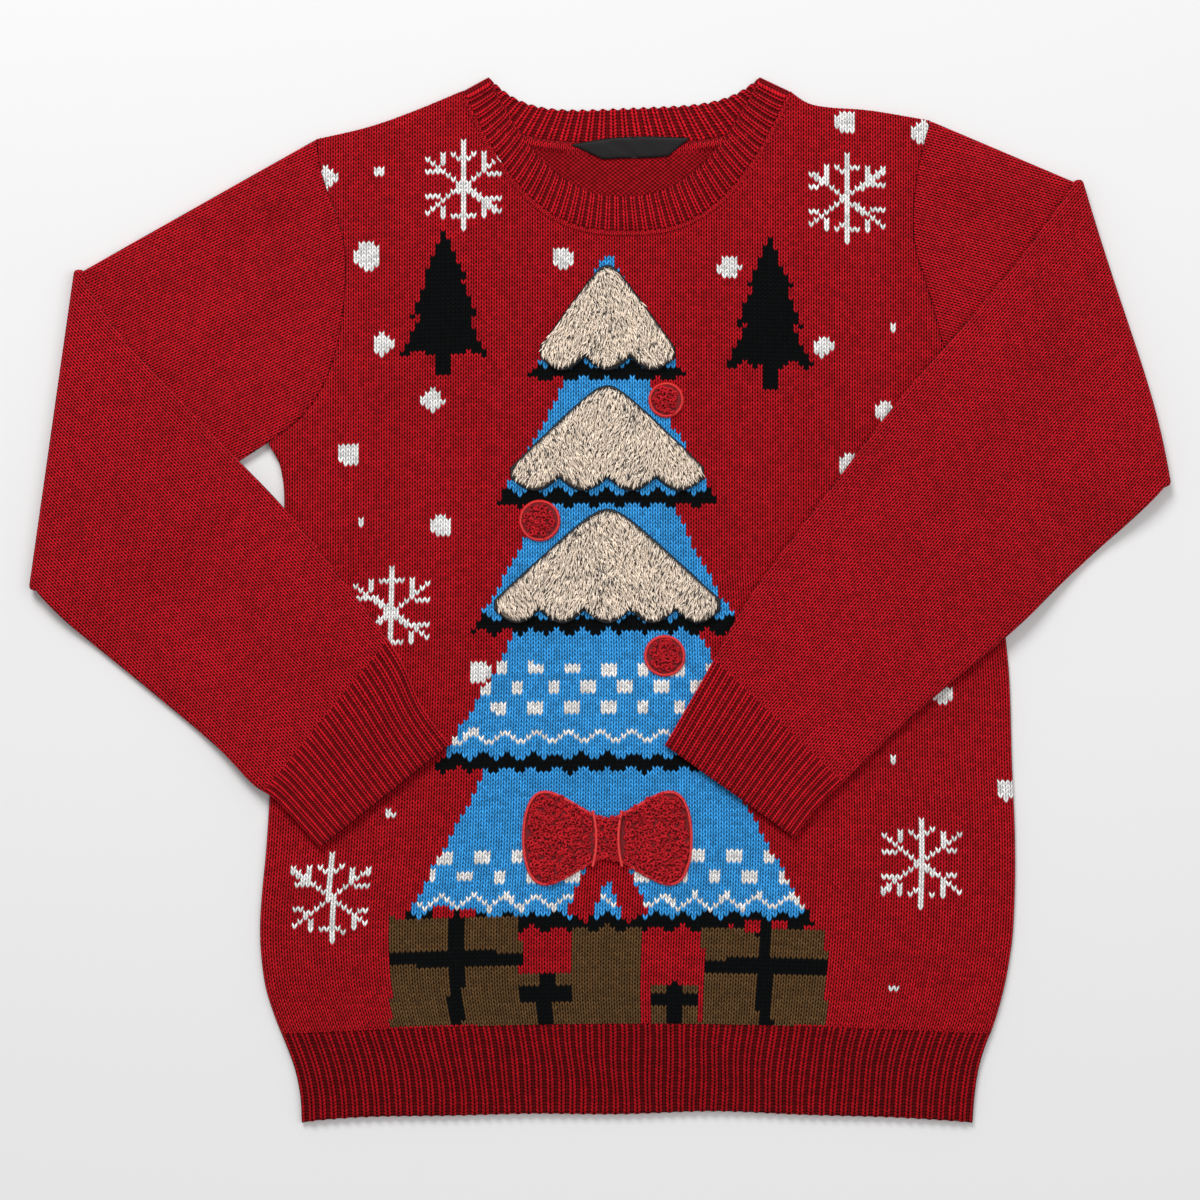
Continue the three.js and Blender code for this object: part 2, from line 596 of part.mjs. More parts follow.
// A bow or bauble: a lobed outline, drawn in towards the top in a soft edge
function loopPatch({ name, x, y, halfWidth, halfHeight, waist, blunt }) {
  const STEPS = 32;
  const levels = [
    { size: 1, lift: 0 }, { size: 1, lift: 0.55 }, { size: 0.93, lift: 0.9 }, { size: 0.7, lift: 1 },
  ];
  const ring = ({ size, lift }) => steps(0, 2 * Math.PI, STEPS).map((a) => {
    const side = Math.abs(Math.cos(a));
    const px = x + halfWidth * size * Math.sign(Math.cos(a)) * Math.pow(side, blunt);
    const py = y + halfHeight * size * Math.sin(a) * lerp(waist, 1, Math.pow(side, 0.8));
    return point(px, py, patchBase(px, py) + lift * LOOP_THICKNESS);
  });
  const rings = levels.map(ring);
  const triangles = [];
  for (let i = 0; i + 1 < rings.length; i++) strip(triangles, rings[i], rings[i + 1]);
  const top = point(x, y, patchBase(x, y) + LOOP_THICKNESS);
  const base = point(x, y, patchBase(x, y));
  for (let i = 0; i < STEPS; i++) {
    triangles.push(rings.at(-1)[i], rings.at(-1)[i + 1], top);
    triangles.push(rings[0][i + 1], rings[0][i], base);
  }
  return solid(name, triangles, COLOURS.loop);
}

const sweater = new THREE.Group();
sweater.name = 'christmas_sweater';
sweater.add(backPanel(), frontPanel(), neckband(), neckLabel());
sweater.add(sleeve(SLEEVE_RIGHT), sleeve(SLEEVE_LEFT));
SNOW_BANKS.forEach((bank) => sweater.add(snowBank(bank)));
LOOP_PATCHES.forEach((spec) => sweater.add(loopPatch(spec)));

// The origin is the middle of the sweater's box, on the surface it lies on
const box = new THREE.Box3().setFromObject(sweater);
const middle = box.getCenter(new THREE.Vector3());
sweater.position.set(-middle.x, -middle.y, -box.min.z);

export default sweater;
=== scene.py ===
import math

import bpy
import numpy as np
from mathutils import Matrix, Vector


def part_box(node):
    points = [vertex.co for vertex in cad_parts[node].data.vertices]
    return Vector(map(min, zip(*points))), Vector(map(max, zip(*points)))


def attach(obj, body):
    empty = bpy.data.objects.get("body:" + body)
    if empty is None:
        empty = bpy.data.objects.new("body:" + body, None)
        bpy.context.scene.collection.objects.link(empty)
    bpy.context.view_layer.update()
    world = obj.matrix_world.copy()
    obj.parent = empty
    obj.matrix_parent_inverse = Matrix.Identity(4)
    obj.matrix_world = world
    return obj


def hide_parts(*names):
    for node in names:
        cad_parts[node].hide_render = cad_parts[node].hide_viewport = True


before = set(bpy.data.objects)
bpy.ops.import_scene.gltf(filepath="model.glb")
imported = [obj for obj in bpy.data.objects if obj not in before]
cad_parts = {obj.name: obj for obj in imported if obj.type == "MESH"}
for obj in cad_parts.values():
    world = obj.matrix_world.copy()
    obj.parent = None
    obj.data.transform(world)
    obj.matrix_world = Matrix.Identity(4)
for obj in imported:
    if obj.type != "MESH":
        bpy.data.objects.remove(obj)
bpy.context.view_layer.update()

# Camera
# It hangs straight over the sweater, and its long lens keeps the edges of the folded sleeves
# from leaning. Plan sizes in this file are millimetres, measured as in the part's source.
MM = 0.001
LABEL_CORNER_X = -20  # leftmost corner of the neck label in the plan tables
PLAN_MIDDLE_X = LABEL_CORNER_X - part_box("neck_label")[0][0] / MM  # the part's origin, in plan X
VIEW_WIDTH = 816  # width of sweater plan that the square picture takes in
FOCUS_HEIGHT = 6  # height at which the view is that wide
CAMERA_LENS = 95
SENSOR = 36
camera_data = bpy.data.cameras.new("overhead_camera")
camera_data.lens = CAMERA_LENS
camera_data.sensor_width = SENSOR
camera = bpy.data.objects.new("overhead_camera", camera_data)
camera.location = (-PLAN_MIDDLE_X * MM, 0, (VIEW_WIDTH * CAMERA_LENS / SENSOR + FOCUS_HEIGHT) * MM)
bpy.context.collection.objects.link(camera)
bpy.context.scene.camera = camera

# Surface and light
# A plain pale surface lit softly from all round, with one broad lamp high over the upper left
# that lets the ribs and stitches stand out.
SURFACE_SIZE = 6.0
SURFACE_COLOUR = (0.76, 0.76, 0.76)
ROOM_LIGHT = 0.44
MATT = 0.9  # roughness of paper and yarn


def new_material(name, colour=(0.8, 0.8, 0.8), roughness=MATT):
    """A material with its shader tree and its Principled BSDF."""
    material = bpy.data.materials.new(name)
    material.use_nodes = True
    tree = material.node_tree
    shader = tree.nodes["Principled BSDF"]
    shader.inputs["Base Color"].default_value = (*colour, 1)
    shader.inputs["Roughness"].default_value = roughness
    return material, tree, shader


bpy.ops.mesh.primitive_plane_add(size=SURFACE_SIZE)
surface = bpy.context.object
surface.name = "pale_surface"
surface_finish, _, _ = new_material("pale_paper", SURFACE_COLOUR)
surface.data.materials.append(surface_finish)

world = bpy.data.worlds.new("soft_room")
world.use_nodes = True
world.node_tree.nodes["Background"].inputs["Color"].default_value = (1, 1, 1, 1)
world.node_tree.nodes["Background"].inputs["Strength"].default_value = ROOM_LIGHT
bpy.context.scene.world = world
bpy.context.scene.view_settings.view_transform = "Standard"

# name, where it hangs (m), size (m), power (W)
LAMPS = [
    ("window_lamp", (-0.95, 2.75, 2.6), 1.5, 116),
    ("fill_lamp", (2.4, 0.4, 3.6), 2.7, 50),
]
for lamp_name, hangs_at, lamp_size, power in LAMPS:
    lamp_data = bpy.data.lights.new(lamp_name, "AREA")
    lamp_data.size = lamp_size
    lamp_data.energy = power
    lamp = bpy.data.objects.new(lamp_name, lamp_data)
    lamp.location = hangs_at
    lamp.rotation_euler = (-Vector(hangs_at)).to_track_quat("-Z", "Y").to_euler()
    bpy.context.collection.objects.link(lamp)

# Front
# One knitted panel in stockinette, hung in straight wales from its hem rib. Its pictures are
# knitted in with yarns of other colours, stitch by stitch. It lies on the back panel and is
# linked to it at the sides and shoulders.
KNIT = 2.6
AIR = 0.4
FLAT = 2 * KNIT + AIR
REST = 0.5
SEAM = 0.3
TUCK = 0.4  # how far the panels reach in under the neckband
HEM = -356
HEM_WAVE = 7
RIB_TOP = -295
RIB_TOP_WAVE = 7
WAIST = 20
WALES = 140  # stitches across the front
WALE = 3.6
COURSE = 2.8
LEG_RISE = 0.75  # how far the sides of a stitch stand over its foot, in courses
RED = (0.56, 0.008, 0.016)
BLUE = (0.052, 0.40, 0.93)
WHITE = (0.98, 0.96, 0.94)
BLACK = (0.0025, 0.0035, 0.004)
BROWN = (0.145, 0.074, 0.027)

# y, x of the outline from the hem to the underarm, and from there to the shoulder tip
SIDE_RIGHT = [
    (-356, -203), (-338, -204), (-320, -207.5), (-303, -213.5), (-285, -221), (-260, -228.5),
    (-222, -231.5), (-165, -227), (-100, -223), (-34, -219), (65, -215), (92, -218), (107, -226),
]
ARMHOLE_RIGHT = [
    (107, -226), (124, -204), (144, -189.5), (169, -180), (192, -175.5), (215, -173.4),
    (237, -173.6), (255, -177), (273, -183.5), (293, -190), (313.6, -193),
]
SIDE_LEFT = [
    (-356, 253.5), (-337, 255), (-318, 258), (-303, 262.5), (-291, 267.5), (-271, 273.5),
    (-250, 278), (-222, 281.5), (-170, 282.7), (-110, 280.5), (-50, 278.5), (10, 272), (62, 265),
    (97, 263), (115.7, 268),
]
ARMHOLE_LEFT = [
    (115.7, 268), (130, 251), (148, 241.5), (170, 234.6), (192, 228.6), (217, 221.5),
    (233, 216.2), (250, 213.4), (276, 214), (302, 218.3), (326.2, 224.7),
]
# x, y along each shoulder, from the tip to the neckband
SHOULDER_RIGHT = [(-193, 313.6), (-158.8, 321.5), (-128.5, 332), (-93.4, 346.5)]
SHOULDER_LEFT = [(129.2, 346.5), (141, 338.4), (156, 335.2), (184.6, 333), (224.7, 326.2)]
NECK_SEAM = dict(
    x=17.9, half=111, end=346.5, front=95.6, front_power=2.7, front_lean=0, back=35.5,
    back_power=4, back_lean=0,
)
NECK_FREE = dict(
    x=16.5, half=92.3, end=356, front=81.5, front_power=2.35, front_lean=0, back=21.4,
    back_power=4.5, back_lean=4,
)


def blend(a, b, t):
    return a + (b - a) * t


def ease(value, low, high):
    t = np.clip((value - low) / (high - low), 0, 1)
    return t * t * (3 - 2 * t)


def together(*parts):
    """Points or UV from their coordinates, each of which is a grid or one number for all."""
    return np.stack(np.broadcast_arrays(*parts), axis=-1)


def run_along(line):
    """Distance from the start of a line to each of its points."""
    return np.concatenate([[0], np.cumsum(np.linalg.norm(np.diff(line, axis=0), axis=1))])


def edge_x(table, y):
    """X of an outline at Y, on a smooth curve through the rows of its table."""
    ys, xs = np.array(table, float).T
    ahead = np.minimum(np.arange(len(ys)) + 1, len(ys) - 1)
    behind = np.maximum(np.arange(len(ys)) - 1, 0)
    slope = (xs[ahead] - xs[behind]) / (ys[ahead] - ys[behind])
    i = np.clip(np.searchsorted(ys, y, side="right") - 1, 0, len(ys) - 2)
    step = ys[i + 1] - ys[i]
    t = np.clip((y - ys[i]) / step, 0, 1)
    start = xs[i] * (1 + 2 * t) + slope[i] * step * t
    end = xs[i + 1] * (3 - 2 * t) + slope[i + 1] * step * (t - 1)
    return start * (1 - t) ** 2 + end * t**2


def right_edge(y):
    return np.where(y < ARMHOLE_RIGHT[0][0], edge_x(SIDE_RIGHT, y), edge_x(ARMHOLE_RIGHT, y))


def left_edge(y):
    return np.where(y < ARMHOLE_LEFT[0][0], edge_x(SIDE_LEFT, y), edge_x(ARMHOLE_LEFT, y))


def smooth_curve(points, samples=200):
    """A curve through the points, as a function of the share of its length."""
    p = np.array(points, float)
    p = np.vstack([p[0], p, p[-1]])
    spans = len(points) - 1
    t = np.linspace(0, spans, samples * spans + 1)
    i = np.minimum(t.astype(int), spans - 1)
    f = (t - i)[:, None]
    p0, p1, p2, p3 = p[i], p[i + 1], p[i + 2], p[i + 3]
    m1, m2 = (p2 - p0) / 2, (p3 - p1) / 2
    curve = (
        (2 * p1 - 2 * p2 + m1 + m2) * f**3 + (-3 * p1 + 3 * p2 - 2 * m1 - m2) * f**2 + m1 * f + p1
    )
    length = run_along(curve)

    def at(share):
        reach = np.asarray(share) * length[-1]
        return np.stack([np.interp(reach, length, curve[:, k]) for k in range(2)], axis=-1)

    at.length = length[-1]
    return at


def neck_y(edge, x, side, gap=0.0):
    across = np.clip((x - edge["x"]) / (edge["half"] + gap), -1, 1)
    drop = (edge[side] + gap) * (1 - np.abs(across) ** edge[side + "_power"])
    return edge["end"] - drop + edge[side + "_lean"] * across * (1 - across**2)


shoulder_line = np.vstack(
    [smooth_curve(shoulder)(np.linspace(0, 1, 60)) for shoulder in (SHOULDER_RIGHT, SHOULDER_LEFT)]
)


def top_edge(x, side):
    """Y of a panel's upper edge: shoulder, neck, shoulder."""
    shoulder = np.interp(x, shoulder_line[:, 0], shoulder_line[:, 1])
    in_neck = np.abs(x - NECK_SEAM["x"]) < NECK_SEAM["half"] - TUCK
    return np.where(in_neck, neck_y(NECK_SEAM, x, side, -TUCK), shoulder)


# x0, y0, x1, y1, height, half width of the broad soft ridges in what lies on the surface
BODY_RIDGES = [
    (-150, 150, -166, 40, 2.2, 20),
    (176, 214, 140, 110, 1.8, 20),
    (-196, -190, -190, -250, 2.4, 22),
    (246, -130, 240, -246, 2.6, 22),
    (-226, 276, -310, 226, 2.6, 20),
    (-214, 216, -288, 168, 2.0, 18),
    (250, 292, 296, 266, 2.0, 16),
]
# The same for the narrower creases that only the front's face shows
FRONT_CREASES = [
    (-212, -150, -204, -272, -0.9, 9),
    (-170, -180, -176, -268, -0.7, 9),
    (-140, -226, -150, -286, 0.7, 10),
    (262, -120, 258, -262, -0.9, 8),
    (222, -150, 216, -262, -0.8, 10),
    (196, -196, 204, -280, 0.6, 9),
    (96, -232, 92, -290, 0.5, 12),
    (-40, -236, -46, -290, 0.4, 14),
    (-196, 92, -176, 30, -0.8, 7),
    (-132, 196, -128, 70, -0.7, 12),
    (-96, 236, -88, 150, 0.6, 14),
    (118, 226, 100, 130, 0.6, 13),
    (152, 196, 128, 96, -0.7, 10),
    (190, 300, 168, 236, 0.6, 12),
    (-160, 300, -150, 240, 0.6, 12),
    (-60, 236, -40, 216, 0.5, 10),
    (60, 238, 88, 224, 0.5, 10),
]


def ridges(table, x, y):
    total = np.zeros(np.broadcast(x, y).shape)
    for x0, y0, x1, y1, height, spread in table:
        dx, dy = x1 - x0, y1 - y0
        share = np.clip(((x - x0) * dx + (y - y0) * dy) / (dx * dx + dy * dy), 0, 1)
        away = np.hypot(x - x0 - share * dx, y - y0 - share * dy) / spread
        total += height * np.exp(-(away**2))
    return total


def side_roll(x, y, depth=2.3, reach=6.5):
    """How far the cloth has rolled down towards a side edge of the body."""
    inward = np.minimum(x - right_edge(y), left_edge(y) - x)
    t = np.clip(1 - inward / reach, 0, 1)
    below_arm = ease(-y, -ARMHOLE_RIGHT[0][0], -ARMHOLE_RIGHT[0][0] + 14)
    return below_arm * depth * (1 - np.sqrt(1 - t * t))


def linked_dip(x, y, side):
    """The small trough that linking pulls into a panel at its armholes, neck and shoulders."""
    inward = np.minimum(x - right_edge(y), left_edge(y) - x)
    at_arm = np.where(y > ARMHOLE_RIGHT[0][0], inward, 99)
    near = np.minimum(at_arm, top_edge(x, side) - y)
    return 0.9 * np.exp(-((near / 2.6) ** 2)) - 0.35 * np.exp(-(((near - 7) / 3.5) ** 2))


def front_face(x, y):
    z = FLAT + ridges(BODY_RIDGES, x, y) + ridges(FRONT_CREASES, x, y)
    return z - side_roll(x, y) - linked_dip(x, y, "front")


def rib_top(u):
    return RIB_TOP + RIB_TOP_WAVE * np.sin(np.pi * np.clip(u, 0, 1))


def hem_edge(u):
    wave = 0.8 * np.sin(11 * u + 0.6) + 0.6 * np.sin(23 * u)
    return HEM + HEM_WAVE * np.sin(np.pi * np.clip(u, 0, 1)) ** 0.6 + wave * np.sin(np.pi * u) ** 0.5


def wale_edge(table, y):
    """The side line that the wales follow: the outline, held straight above the waist."""
    return edge_x(table, np.minimum(y, WAIST))


def quads(rows, columns, wrap=False):
    """Corner numbers of the faces of a grid of points, upwards when the columns run to +X and
    the rows to +Y."""
    r, c = np.meshgrid(np.arange(rows - 1), np.arange(columns - (not wrap)), indexing="ij")
    right = (c + 1) % columns
    return np.stack(
        [r * columns + c, r * columns + right, (r + 1) * columns + right, (r + 1) * columns + c],
        axis=-1,
    ).reshape(-1, 4)


def cloth_mesh(name, points, faces, stitches=None, yarn=None, round_wales=0):
    """A smooth-shaded piece from points in plan millimetres. `stitches` gives each point's place
    in wales and courses, and `yarn` each face's colour. `round_wales` is the number of wales round
    a ring, after which they start again at 0."""
    points = np.asarray(points, float).reshape(-1, 3)
    used, flat = np.unique(faces, return_inverse=True)
    faces = flat.reshape(faces.shape)
    mesh = bpy.data.meshes.new(name)
    mesh.from_pydata(((points[used] - [PLAN_MIDDLE_X, 0, 0]) * MM).tolist(), [], faces.tolist())
    if stitches is not None:
        layer = mesh.uv_layers.new(name="stitches")
        corners = np.asarray(stitches, float).reshape(-1, 2)[used][faces]
        if round_wales:
            wales = corners[..., 0]
            wales[wales.max(axis=1, keepdims=True) - wales > round_wales / 2] += round_wales
        layer.data.foreach_set("uv", corners.ravel())
    if yarn is not None:
        paint = mesh.color_attributes.new("yarn", "FLOAT_COLOR", "CORNER")
        rgba = np.ones((len(faces), faces.shape[1], 4))
        rgba[..., :3] = np.asarray(yarn)[:, None, :]
        paint.data.foreach_set("color", rgba.ravel())
    mesh.polygons.foreach_set("use_smooth", np.ones(len(mesh.polygons), bool))
    mesh.update()
    piece = bpy.data.objects.new(name, mesh)
    bpy.context.collection.objects.link(piece)
    return piece


def rimmed(points, faces, stitches, kept):
    """A sheet with the thickness of its cloth hung as a rim from its kept free edges. Also
    returns the face that each part of the rim hangs from."""
    points, stitches = (np.asarray(each, float).reshape(-1, each.shape[-1]) for each in (points, stitches))
    edges = together(faces, np.roll(faces, -1, axis=1)).reshape(-1, 2)
    _, same, uses = np.unique(np.sort(edges, axis=1), axis=0, return_inverse=True, return_counts=True)
    free = (uses[same.ravel()] == 1) & kept.ravel()[edges].all(axis=1)
    a, b = edges[free].T
    low = np.minimum(points[:, 2], KNIT + AIR / 2)
    hung = np.column_stack([points[:, :2], low])
    rim = together(b, a, a + len(points), b + len(points))
    owner = np.nonzero(free)[0] // 4
    return np.concatenate([points, hung]), np.concatenate([faces, rim]), np.tile(stitches, (2, 1)), owner


def shader_node(tree, kind, **settings):
    """A node in a shader tree. A setting with a capital is an input, given a value or a socket to
    link, and any other is a property of the node."""
    node = tree.nodes.new("ShaderNode" + kind)
    for setting, value in settings.items():
        if setting.islower():
            setattr(node, setting, value)
            continue
        socket = node.inputs[setting.replace("_", " ")]
        if isinstance(value, bpy.types.NodeSocket):
            tree.links.new(value, socket)
        else:
            socket.default_value = value
    return node


def node_value(tree, operation, *inputs):
    """A maths node in a shader tree. Each input is a socket or a number."""
    node = shader_node(tree, "Math", operation=operation)
    for socket, value in zip(node.inputs, inputs):
        if isinstance(value, bpy.types.NodeSocket):
            tree.links.new(value, socket)
        else:
            socket.default_value = value
    return node.outputs[0]


def knit_stitch_group():
    """The relief of one knitted face: two leaning legs of yarn to a stitch, twisted from plies,
    with holes where their ends meet. Spread above 1 narrows the wale to the crest of a rib,
    and parting deepens the line between its two legs. Gap says how much painted shade the
    colour takes there: most in the holes, the parting and the rib hollows."""
    tree = bpy.data.node_groups.new("knit_stitch", "ShaderNodeTree")
    for socket_name, kind, preset in [
        ("Stitches", "NodeSocketVector", None), ("Leg rise", "NodeSocketFloat", LEG_RISE),
        ("Spread", "NodeSocketFloat", 1.0), ("Purl", "NodeSocketFloat", 0.0),
        ("Parting", "NodeSocketFloat", 0.45),
    ]:
        socket = tree.interface.new_socket(socket_name, in_out="INPUT", socket_type=kind)
        if preset is not None:
            socket.default_value = preset
    for socket_name in ("Height", "Gap", "Fibre"):
        tree.interface.new_socket(socket_name, in_out="OUTPUT", socket_type="NodeSocketFloat")
    given = tree.nodes.new("NodeGroupInput").outputs
    result = tree.nodes.new("NodeGroupOutput").inputs
    split = shader_node(tree, "SeparateXYZ", Vector=given["Stitches"])

    def value(operation, *inputs):
        return node_value(tree, operation, *inputs)

    # 0 in the middle of a wale, 1 where it meets the next
    doubled = value("MULTIPLY_ADD", value("FRACT", split.outputs["X"]), 2, -1)
    spread = value("MULTIPLY", value("ABSOLUTE", doubled), given["Spread"])
    aside = value("MINIMUM", spread, 1)
    level = value("SUBTRACT", split.outputs["Y"], value("MULTIPLY", aside, given["Leg rise"]))
    across = value("FRACT", level)
    centred = value("MULTIPLY_ADD", across, 2, -1)
    side = value("POWER", value("ABSOLUTE", centred), 1.5)
    end = value("ABSOLUTE", value("MULTIPLY_ADD", aside, 2, -0.96))
    tip = value("POWER", value("MINIMUM", end, 1), 2.2)
    hole = value("MULTIPLY", value("MULTIPLY", side, tip), 1.15)
    dark = value("ADD", value("MULTIPLY_ADD", side, 0.3, hole), value("MULTIPLY", tip, given["Parting"]))
    leg = value("MAXIMUM", value("SUBTRACT", 1, dark), 0)
    turn = value("ADD", value("MULTIPLY", across, 7.5), value("MULTIPLY", aside, 9))
    plies = value("MULTIPLY_ADD", value("SINE", turn), 0.09, 0.91)
    face = value("MULTIPLY", leg, plies)
    # The purl face: short bumps, staggered from one half course to the next
    wave_x = value("COSINE", value("MULTIPLY", split.outputs["X"], 2 * math.pi))
    wave_y = value("COSINE", value("MULTIPLY", split.outputs["Y"], 2 * math.pi))
    bar = value("MULTIPLY_ADD", value("MULTIPLY", wave_x, wave_y), 0.42, 0.5)
    # The hollows between rib crests take painted shade in the colour, on top of their real depth
    hollow = value("GREATER_THAN", spread, 1)
    in_hollow = value("MULTIPLY", hollow, value("MULTIPLY_ADD", bar, 0.14, 0.31))
    knitted = value("ADD", value("MULTIPLY", face, value("SUBTRACT", 1, hollow)), in_hollow)
    mixed = value(
        "ADD", value("MULTIPLY", knitted, value("SUBTRACT", 1, given["Purl"])),
        value("MULTIPLY", bar, given["Purl"]),
    )
    noise = shader_node(
        tree, "TexNoise", Scale=2.3, Detail=4, Roughness=0.7, Vector=given["Stitches"],
    )
    fibre = noise.outputs["Fac"]
    tree.links.new(value("ADD", mixed, value("MULTIPLY", fibre, 0.22)), result["Height"])
    # Gap is painted shade: high in the holes, partings and rib hollows, 0 on the crowns of the legs
    gap = shader_node(
        tree, "MapRange", interpolation_type="LINEAR", From_Min=0.25, From_Max=0.85, To_Min=1,
        To_Max=0, Value=mixed,
    )
    tree.links.new(gap.outputs[0], result["Gap"])
    # No two stitches catch the light alike
    cell = shader_node(
        tree, "CombineXYZ", X=value("FLOOR", split.outputs["X"]), Y=value("FLOOR", level),
    )
    chance = shader_node(tree, "TexWhiteNoise", noise_dimensions="2D", Vector=cell.outputs[0])
    odd = value("MULTIPLY_ADD", chance.outputs["Value"], 0.22, -0.11)
    tree.links.new(value("ADD", fibre, odd), result["Fibre"])
    return tree


KNIT_STITCH = knit_stitch_group()


def yarn_material(name, colour=None, spread=1.0, purl=0.0, gap_painted_shade=0.97, parting=0.45):
    """Knitted yarn in one colour, or in the colours of the piece's `yarn` attribute, with painted
    shade darkening the colour in the gaps between its stitches.
    """
    material, tree, shader = new_material(name)
    shader.inputs["Specular IOR Level"].default_value = 0.04
    shader.inputs["Sheen Weight"].default_value = 0.02
    shader.inputs["Sheen Roughness"].default_value = 0.6
    stitches = shader_node(tree, "UVMap", uv_map="stitches")
    stitch = shader_node(
        tree, "Group", node_tree=KNIT_STITCH, Spread=spread, Purl=purl, Parting=parting,
        Stitches=stitches.outputs["UV"],
    )
    if colour is None:
        paint = shader_node(tree, "Attribute", attribute_name="yarn")
        parts = shader_node(tree, "SeparateColor", Color=paint.outputs["Color"])
        # Painted shade in the gaps, shallower for light yarns, which let more light into them
        depth = node_value(tree, "MULTIPLY_ADD", parts.outputs["Green"], 0.55, -gap_painted_shade)
    else:
        depth = -gap_painted_shade
    # The colour darkened by painted shade where the stitch's Gap is high
    shade = node_value(tree, "MULTIPLY_ADD", stitch.outputs["Gap"], depth, 1.0)
    fleck = node_value(tree, "MULTIPLY_ADD", stitch.outputs["Fibre"], 1.6, 0.2)
    # Broad, faint unevenness of the dye
    dye = shader_node(tree, "TexNoise", Scale=9, Detail=2)
    place = shader_node(tree, "TexCoord")
    tree.links.new(place.outputs["Object"], dye.inputs["Vector"])
    tone = node_value(tree, "MULTIPLY_ADD", dye.outputs["Fac"], 0.24, 0.88)
    strength = node_value(tree, "MULTIPLY", node_value(tree, "MULTIPLY", shade, fleck), tone)
    tint = shader_node(tree, "VectorMath", operation="SCALE", Scale=strength)
    if colour is None:
        tree.links.new(paint.outputs["Color"], tint.inputs[0])
    else:
        tint.inputs[0].default_value = colour
    tree.links.new(tint.outputs[0], shader.inputs["Base Color"])
    bump = shader_node(
        tree, "Bump", Strength=1.0, Distance=1.1 * MM, Height=stitch.outputs["Height"],
    )
    tree.links.new(bump.outputs["Normal"], shader.inputs["Normal"])
    return material


# The picture is a fir tree with snow on its boughs, presents at its foot and falling snow.
TREE_X = 5
# top and bottom Y of each bough tier, and its half width at each
TIERS = [
    (234, 148, 3, 54),
    (166, 62, 22, 76),
    (86, -24, 36, 92),
    (2, -118, 52, 118),
    (-84, -226, 70, 142),
]
# centre x, y and half height of the falling flakes, then x, y and radius of the dots
SNOWFLAKES = [(-93, 282), (167, 273), (-142, -8), (-183, -203), (218, -179)]
SNOWFLAKE_ARM = 30
DOTS = [
    (-186, 287, 7.2), (-151, 291, 3.2), (-158, 234, 9.2), (-148, 174, 7.4), (-114, 136, 7.4),
    (-171, 99, 8), (-163, 52, 2.8), (-108, 50, 6.8), (-26, 233, 7.4), (88, 226, 7.4),
    (167, 325, 7.7), (220, 318, 7.7), (199, 186, 2.8), (152, 172, 6.4), (194, 128, 6.8),
    (169, 92, 6.8), (-82, -50, 7.6), (233, -63, 6.8), (200, -109, 2.8), (-143, -145, 2.8),
    (277, -129, 7.2), (200, -264, 2.8),
]
ZIGZAGS = [(-93, 4.6, 21.5), (-205, 4.6, 21.5)]  # y, half height, pitch
CHECK_ROWS = [(-73, 3), (-188, 2)]  # y of the lowest row of checks, rows
CHECK_PITCH = (24.4, 13.2)  # across and up, every second row shifted by half
CHECK_HALF = (4.9, 3.9)
POINT_PITCH = 17  # from point to point along the lower edge of a tier
BOW_TAIL_TOP = -168
TRUNK_HALF = 24
TRUNK_TOP = -220
FOOT = -290  # Y on which the trunk and the presents stand
# centre x, bottom y, half width, height of each present
PRESENTS = [(-98, FOOT, 44, 74), (112, FOOT, 42, 66), (-37, FOOT, 18, 36), (51, FOOT, 17, 30)]
# centre x, bottom y, half width, height of the small far-off firs
FAR_FIRS = [(-106, 158, 30, 92), (115, 150, 30, 96)]


def tier_half_width(y, top, bottom, at_top, at_bottom):
    fall = np.clip((top - y) / (top - bottom), 0, 1)
    return np.where((y <= top) & (y >= bottom), blend(at_top, at_bottom, fall**1.15), -1)


def fir(x, y, middle, tiers):
    inside = np.zeros(x.shape, bool)
    for top, bottom, at_top, at_bottom in tiers:
        # The lower edge hangs in points
        points = 10 * np.abs(((x - middle) / POINT_PITCH) % 1 - 0.5)
        inside |= np.abs(x - middle) < tier_half_width(y, top, bottom + points, at_top, at_bottom)
    return inside


def snowflake(x, y, middle_x, middle_y):
    """A stem and two slanting arms, one stitch thick, with short shoots towards their ends."""
    aside, up = np.abs(x - middle_x), np.abs(y - middle_y)
    stem = (aside < 1.8) & (up < SNOWFLAKE_ARM)
    arms = (np.abs(up - 0.74 * aside) < 1.8) & (aside < 0.88 * SNOWFLAKE_ARM)
    on_stem = (aside > 1) & (aside < 9) & (np.abs(up - 18 - 0.5 * aside) < 1.4)
    rising = (np.abs(aside - 14) < 1.8) & (up > 13) & (up < 22)
    level = (aside > 17) & (aside < 26) & (np.abs(up - 8.5) < 1.4)
    return stem | arms | on_stem | rising | level


